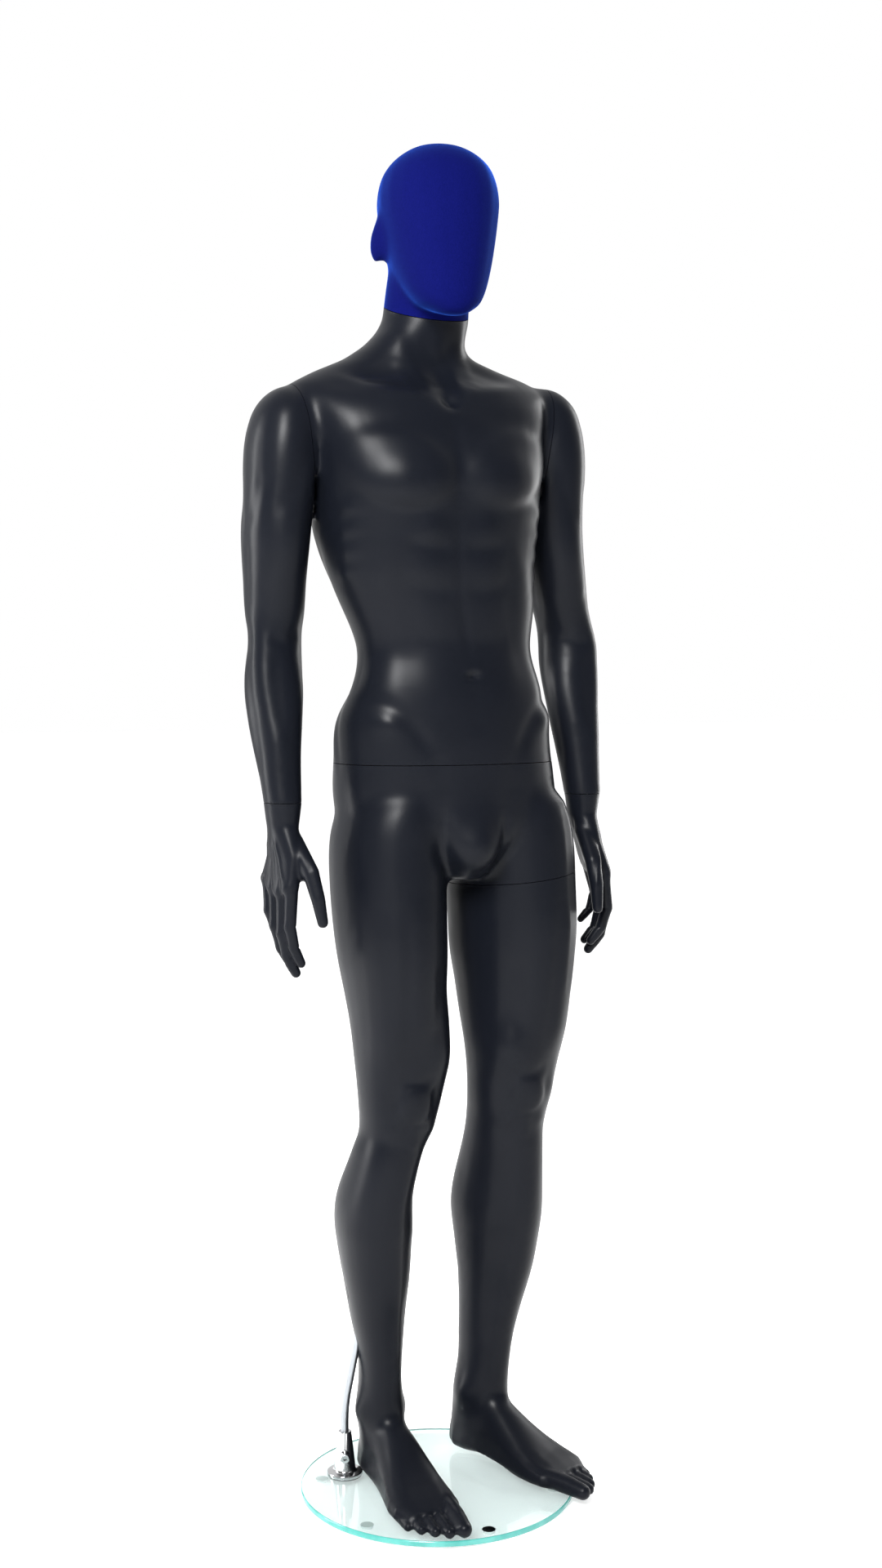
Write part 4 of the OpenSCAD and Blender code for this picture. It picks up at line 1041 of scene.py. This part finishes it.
def shader_of(name, colour, **values):
    """A new material, its node tree and its shader with some values set."""
    mat = bpy.data.materials.new(name)
    mat.use_nodes = True
    shader = mat.node_tree.nodes["Principled BSDF"]
    shader.inputs["Base Color"].default_value = (*colour, 1)
    for key, value in values.items():
        shader.inputs[key.replace("_", " ")].default_value = value
    return mat, mat.node_tree, shader


def noise(tree, scale, detail=2.0, stretch=(1, 1, 1)):
    where = tree.nodes.new("ShaderNodeTexCoord")
    place = tree.nodes.new("ShaderNodeMapping")
    place.inputs["Scale"].default_value = stretch
    tree.links.new(where.outputs["Object"], place.inputs["Vector"])
    grain = tree.nodes.new("ShaderNodeTexNoise")
    grain.inputs["Scale"].default_value = scale
    grain.inputs["Detail"].default_value = detail
    tree.links.new(place.outputs["Vector"], grain.inputs["Vector"])
    return grain.outputs["Fac"]


def bump(tree, shader, height, strength, distance):
    node = tree.nodes.new("ShaderNodeBump")
    node.inputs["Strength"].default_value = strength
    node.inputs["Distance"].default_value = distance
    tree.links.new(height, node.inputs["Height"])
    tree.links.new(node.outputs["Normal"], shader.inputs["Normal"])


def varied(tree, shader, socket, fac, low, high):
    span = tree.nodes.new("ShaderNodeMapRange")
    span.inputs["From Min"].default_value = 0.3
    span.inputs["From Max"].default_value = 0.7
    span.inputs["To Min"].default_value = low
    span.inputs["To Max"].default_value = high
    tree.links.new(fac, span.inputs["Value"])
    tree.links.new(span.outputs["Result"], shader.inputs[socket])


def tinted(tree, shader, fac, a, b):
    ramp = tree.nodes.new("ShaderNodeValToRGB")
    ramp.color_ramp.elements[0].position = 0.35
    ramp.color_ramp.elements[1].position = 0.65
    ramp.color_ramp.elements[0].color = (*a, 1)
    ramp.color_ramp.elements[1].color = (*b, 1)
    tree.links.new(fac, ramp.inputs["Fac"])
    tree.links.new(ramp.outputs["Color"], shader.inputs["Base Color"])


def body_black():
    mat, tree, shader = shader_of("body_black", (0.0035, 0.0042, 0.0065), Specular_IOR_Level=0.09)
    tinted(tree, shader, noise(tree, 5), (0.0031, 0.0038, 0.006), (0.0039, 0.0046, 0.007))
    varied(tree, shader, "Roughness", noise(tree, 14, 3), 0.33, 0.39)
    bump(tree, shader, noise(tree, 420, 1.5), 0.06, 0.0004)
    return mat


def velvet():
    mat, tree, shader = shader_of(
        "velvet",
        (0.003, 0.006, 0.1),
        Roughness=0.9,
        Sheen_Weight=0.45,
        Sheen_Roughness=0.3,
        Specular_IOR_Level=0.02,
    )
    shader.inputs["Sheen Tint"].default_value = (0.04, 0.18, 1, 1)
    tinted(tree, shader, noise(tree, 1200, 4, (1, 1, 0.6)), (0.001, 0.002, 0.04), (0.002, 0.003, 0.056))
    bump(tree, shader, noise(tree, 1500, 3, (1, 1, 0.5)), 0.4, 0.0003)
    return mat


def glass():
    mat, tree, shader = shader_of("glass", (0.8, 0.88, 0.87), Transmission_Weight=1.0, IOR=1.48)
    varied(tree, shader, "Roughness", noise(tree, 60), 0.0, 0.02)
    return mat


def glass_edge():
    mat, tree, shader = shader_of("glass_edge", (0.1, 0.45, 0.4), Transmission_Weight=0.35, IOR=1.48)
    tinted(tree, shader, noise(tree, 30, 2, (1, 1, 0.1)), (0.05, 0.36, 0.32), (0.13, 0.5, 0.45))
    varied(tree, shader, "Roughness", noise(tree, 80), 0.08, 0.18)
    return mat


def chrome():
    mat, tree, shader = shader_of("chrome", (0.5, 0.5, 0.51), Metallic=1.0)
    varied(tree, shader, "Roughness", noise(tree, 120, 3), 0.07, 0.14)
    return mat


def steel():
    mat, tree, shader = shader_of("steel", (0.33, 0.35, 0.37), Metallic=1.0)
    varied(tree, shader, "Roughness", noise(tree, 300, 3, (1, 1, 0.04)), 0.25, 0.38)
    bump(tree, shader, noise(tree, 900, 2, (1, 1, 0.03)), 0.08, 0.0002)
    return mat


def board():
    mat, tree, shader = shader_of("board", (0.35, 0.25, 0.15), Roughness=0.75)
    tinted(tree, shader, noise(tree, 160, 8, (1, 0.25, 1)), (0.24, 0.16, 0.09), (0.46, 0.34, 0.2))
    bump(tree, shader, noise(tree, 600, 6, (1, 0.3, 1)), 0.3, 0.0003)
    return mat


def rubber(name, colour):
    mat, tree, shader = shader_of(name, colour, IOR=1.45)
    varied(tree, shader, "Roughness", noise(tree, 200, 4), 0.4, 0.6)
    bump(tree, shader, noise(tree, 700, 3), 0.2, 0.0003)
    return mat


def floor_finish():
    mat, tree, shader = shader_of("floor", (0.86, 0.86, 0.86), Roughness=0.8, Emission_Strength=0.55)
    shader.inputs["Emission Color"].default_value = (1, 1, 1, 1)
    tinted(tree, shader, noise(tree, 2), (0.85, 0.85, 0.85), (0.87, 0.87, 0.87))
    return mat


# ---- Pieces ----


def finished(obj, name, body, mats, nodes, slot_name, angle=40):
    """Names a piece, gives it its finish and lets it ride its body."""
    obj.name = obj.data.name = name
    obj.data.materials.clear()
    obj.data.materials.append(mats[slot_name])
    obj.data.polygons.foreach_set("material_index", [0] * len(obj.data.polygons))
    obj.data.shade_smooth()
    obj.data.set_sharp_from_angle(angle=math.radians(angle))
    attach(obj, body)
    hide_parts(*nodes)
    return obj


def figure(mats):
    skin = body_skin()
    parts = body_parts(skin)
    open_seams(parts)
    core, cover = head_and_cover(parts.pop("head"))
    for key, obj in parts.items():
        finished(obj, key + "_skin", key, mats, [key + "_shell"], "body_black")
    for side, name in ((-1, "right"), (1, "left")):
        piece, body = name + "_hand_skin", name + "_hand_body"
        finished(hand(side, name), piece, body, mats, [name + "_hand"], "body_black")
    finished(core, "head_form", "head", mats, ["head_core"], "body_black")
    finished(cover, "velvet_cover", "head", mats, ["head_cover"], "velvet")


def stand(mats):
    disc = finished(glass_disc(), "glass_disc", "base", mats, ["glass_base"], "glass", 3)
    disc.data.materials.append(mats["glass_edge"])
    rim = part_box("glass_base")[1].x - 0.0015
    for face in disc.data.polygons:
        if math.hypot(face.center.x, face.center.y) > rim:
            face.material_index = 1
    finished(clamp(), "chrome_clamp", "base", mats, ["rod_clamp"], "chrome", 30)
    finished(clamp_screw(), "chrome_screw", "screw", mats, ["clamp_screw"], "chrome", 30)
    finished(rod(), "bent_rod", "rod", mats, ["calf_rod"], "steel", 30)


def dress_nodes(mats):
    """Finishes for the CAD nodes that are shown as they are."""
    slots = {p["node"]: p["material_slot"] for p in frame["record"]["subparts"]}
    for name, node in frame["nodes"].items():
        node.data.materials.clear()
        node.data.materials.append(mats[slots[name]])


# ---- Studio ----


def area(name, at, target, width, height, power):
    """Rectangular light at a place, turned to a target."""
    light = bpy.data.lights.new(name, "AREA")
    light.shape, light.size, light.size_y, light.energy = "RECTANGLE", width, height, power
    obj = linked(light)
    obj.location = at
    obj.rotation_euler = (Vector(target) - Vector(at)).to_track_quat("-Z", "Y").to_euler()


def backdrop(tree):
    """White behind the figure, dimmer in front of it, as in a studio with a white wall."""
    where = tree.nodes.new("ShaderNodeTexCoord")
    dot = tree.nodes.new("ShaderNodeVectorMath")
    dot.operation = "DOT_PRODUCT"
    dot.inputs[1].default_value = (0.42, 0.91, 0)
    tree.links.new(where.outputs["Generated"], dot.inputs[0])
    span = tree.nodes.new("ShaderNodeMapRange")
    span.inputs["From Min"].default_value = -0.3
    span.inputs["From Max"].default_value = 0.4
    span.inputs["To Min"].default_value = 0.2
    span.inputs["To Max"].default_value = 1.0
    tree.links.new(dot.outputs["Value"], span.inputs["Value"])
    tree.links.new(span.outputs["Result"], tree.nodes["Background"].inputs["Strength"])
    tree.nodes["Background"].inputs["Color"].default_value = (1, 1, 1, 1)


def studio():
    bpy.ops.mesh.primitive_plane_add(size=60, location=(0, 0, 0))
    floor = bpy.context.object
    floor.name = "floor"
    floor.data.materials.append(floor_finish())
    world = bpy.data.worlds.new("studio")
    bpy.context.scene.world = world
    world.use_nodes = True
    backdrop(world.node_tree)
    area("key", (-2.2, -2.6, 3.2), (0, 0, 1.1), 1.2, 1.8, 430)
    area("rim_left", (-2.4, 1.3, 1.4), (0, 0, 1.0), 0.6, 2.4, 90)
    area("rim_right", (2.3, 0.9, 1.5), (0, 0, 1.0), 0.6, 2.4, 35)
    bpy.context.scene.view_settings.view_transform = "Standard"


def camera():
    cam = bpy.data.cameras.new("camera")
    cam.lens, cam.sensor_width, cam.sensor_fit = 44.83, 36, "AUTO"
    obj = linked(cam)
    obj.location = (-1.125, -2.4126, 1.15)
    obj.rotation_mode = "QUATERNION"
    obj.rotation_quaternion = Vector((0.42372, 0.90372, -0.06122)).to_track_quat("-Z", "Y")
    bpy.context.scene.camera = obj


def main():
    mats = {
        "body_black": body_black(),
        "velvet": velvet(),
        "glass": glass(),
        "glass_edge": glass_edge(),
        "chrome": chrome(),
        "steel": steel(),
        "board": board(),
        "clear_rubber": rubber("clear_rubber", (0.8, 0.84, 0.83)),
        "black_rubber": rubber("black_rubber", (0.02, 0.02, 0.02)),
    }
    camera()
    studio()
    dress_nodes(mats)
    stand(mats)
    figure(mats)


main()
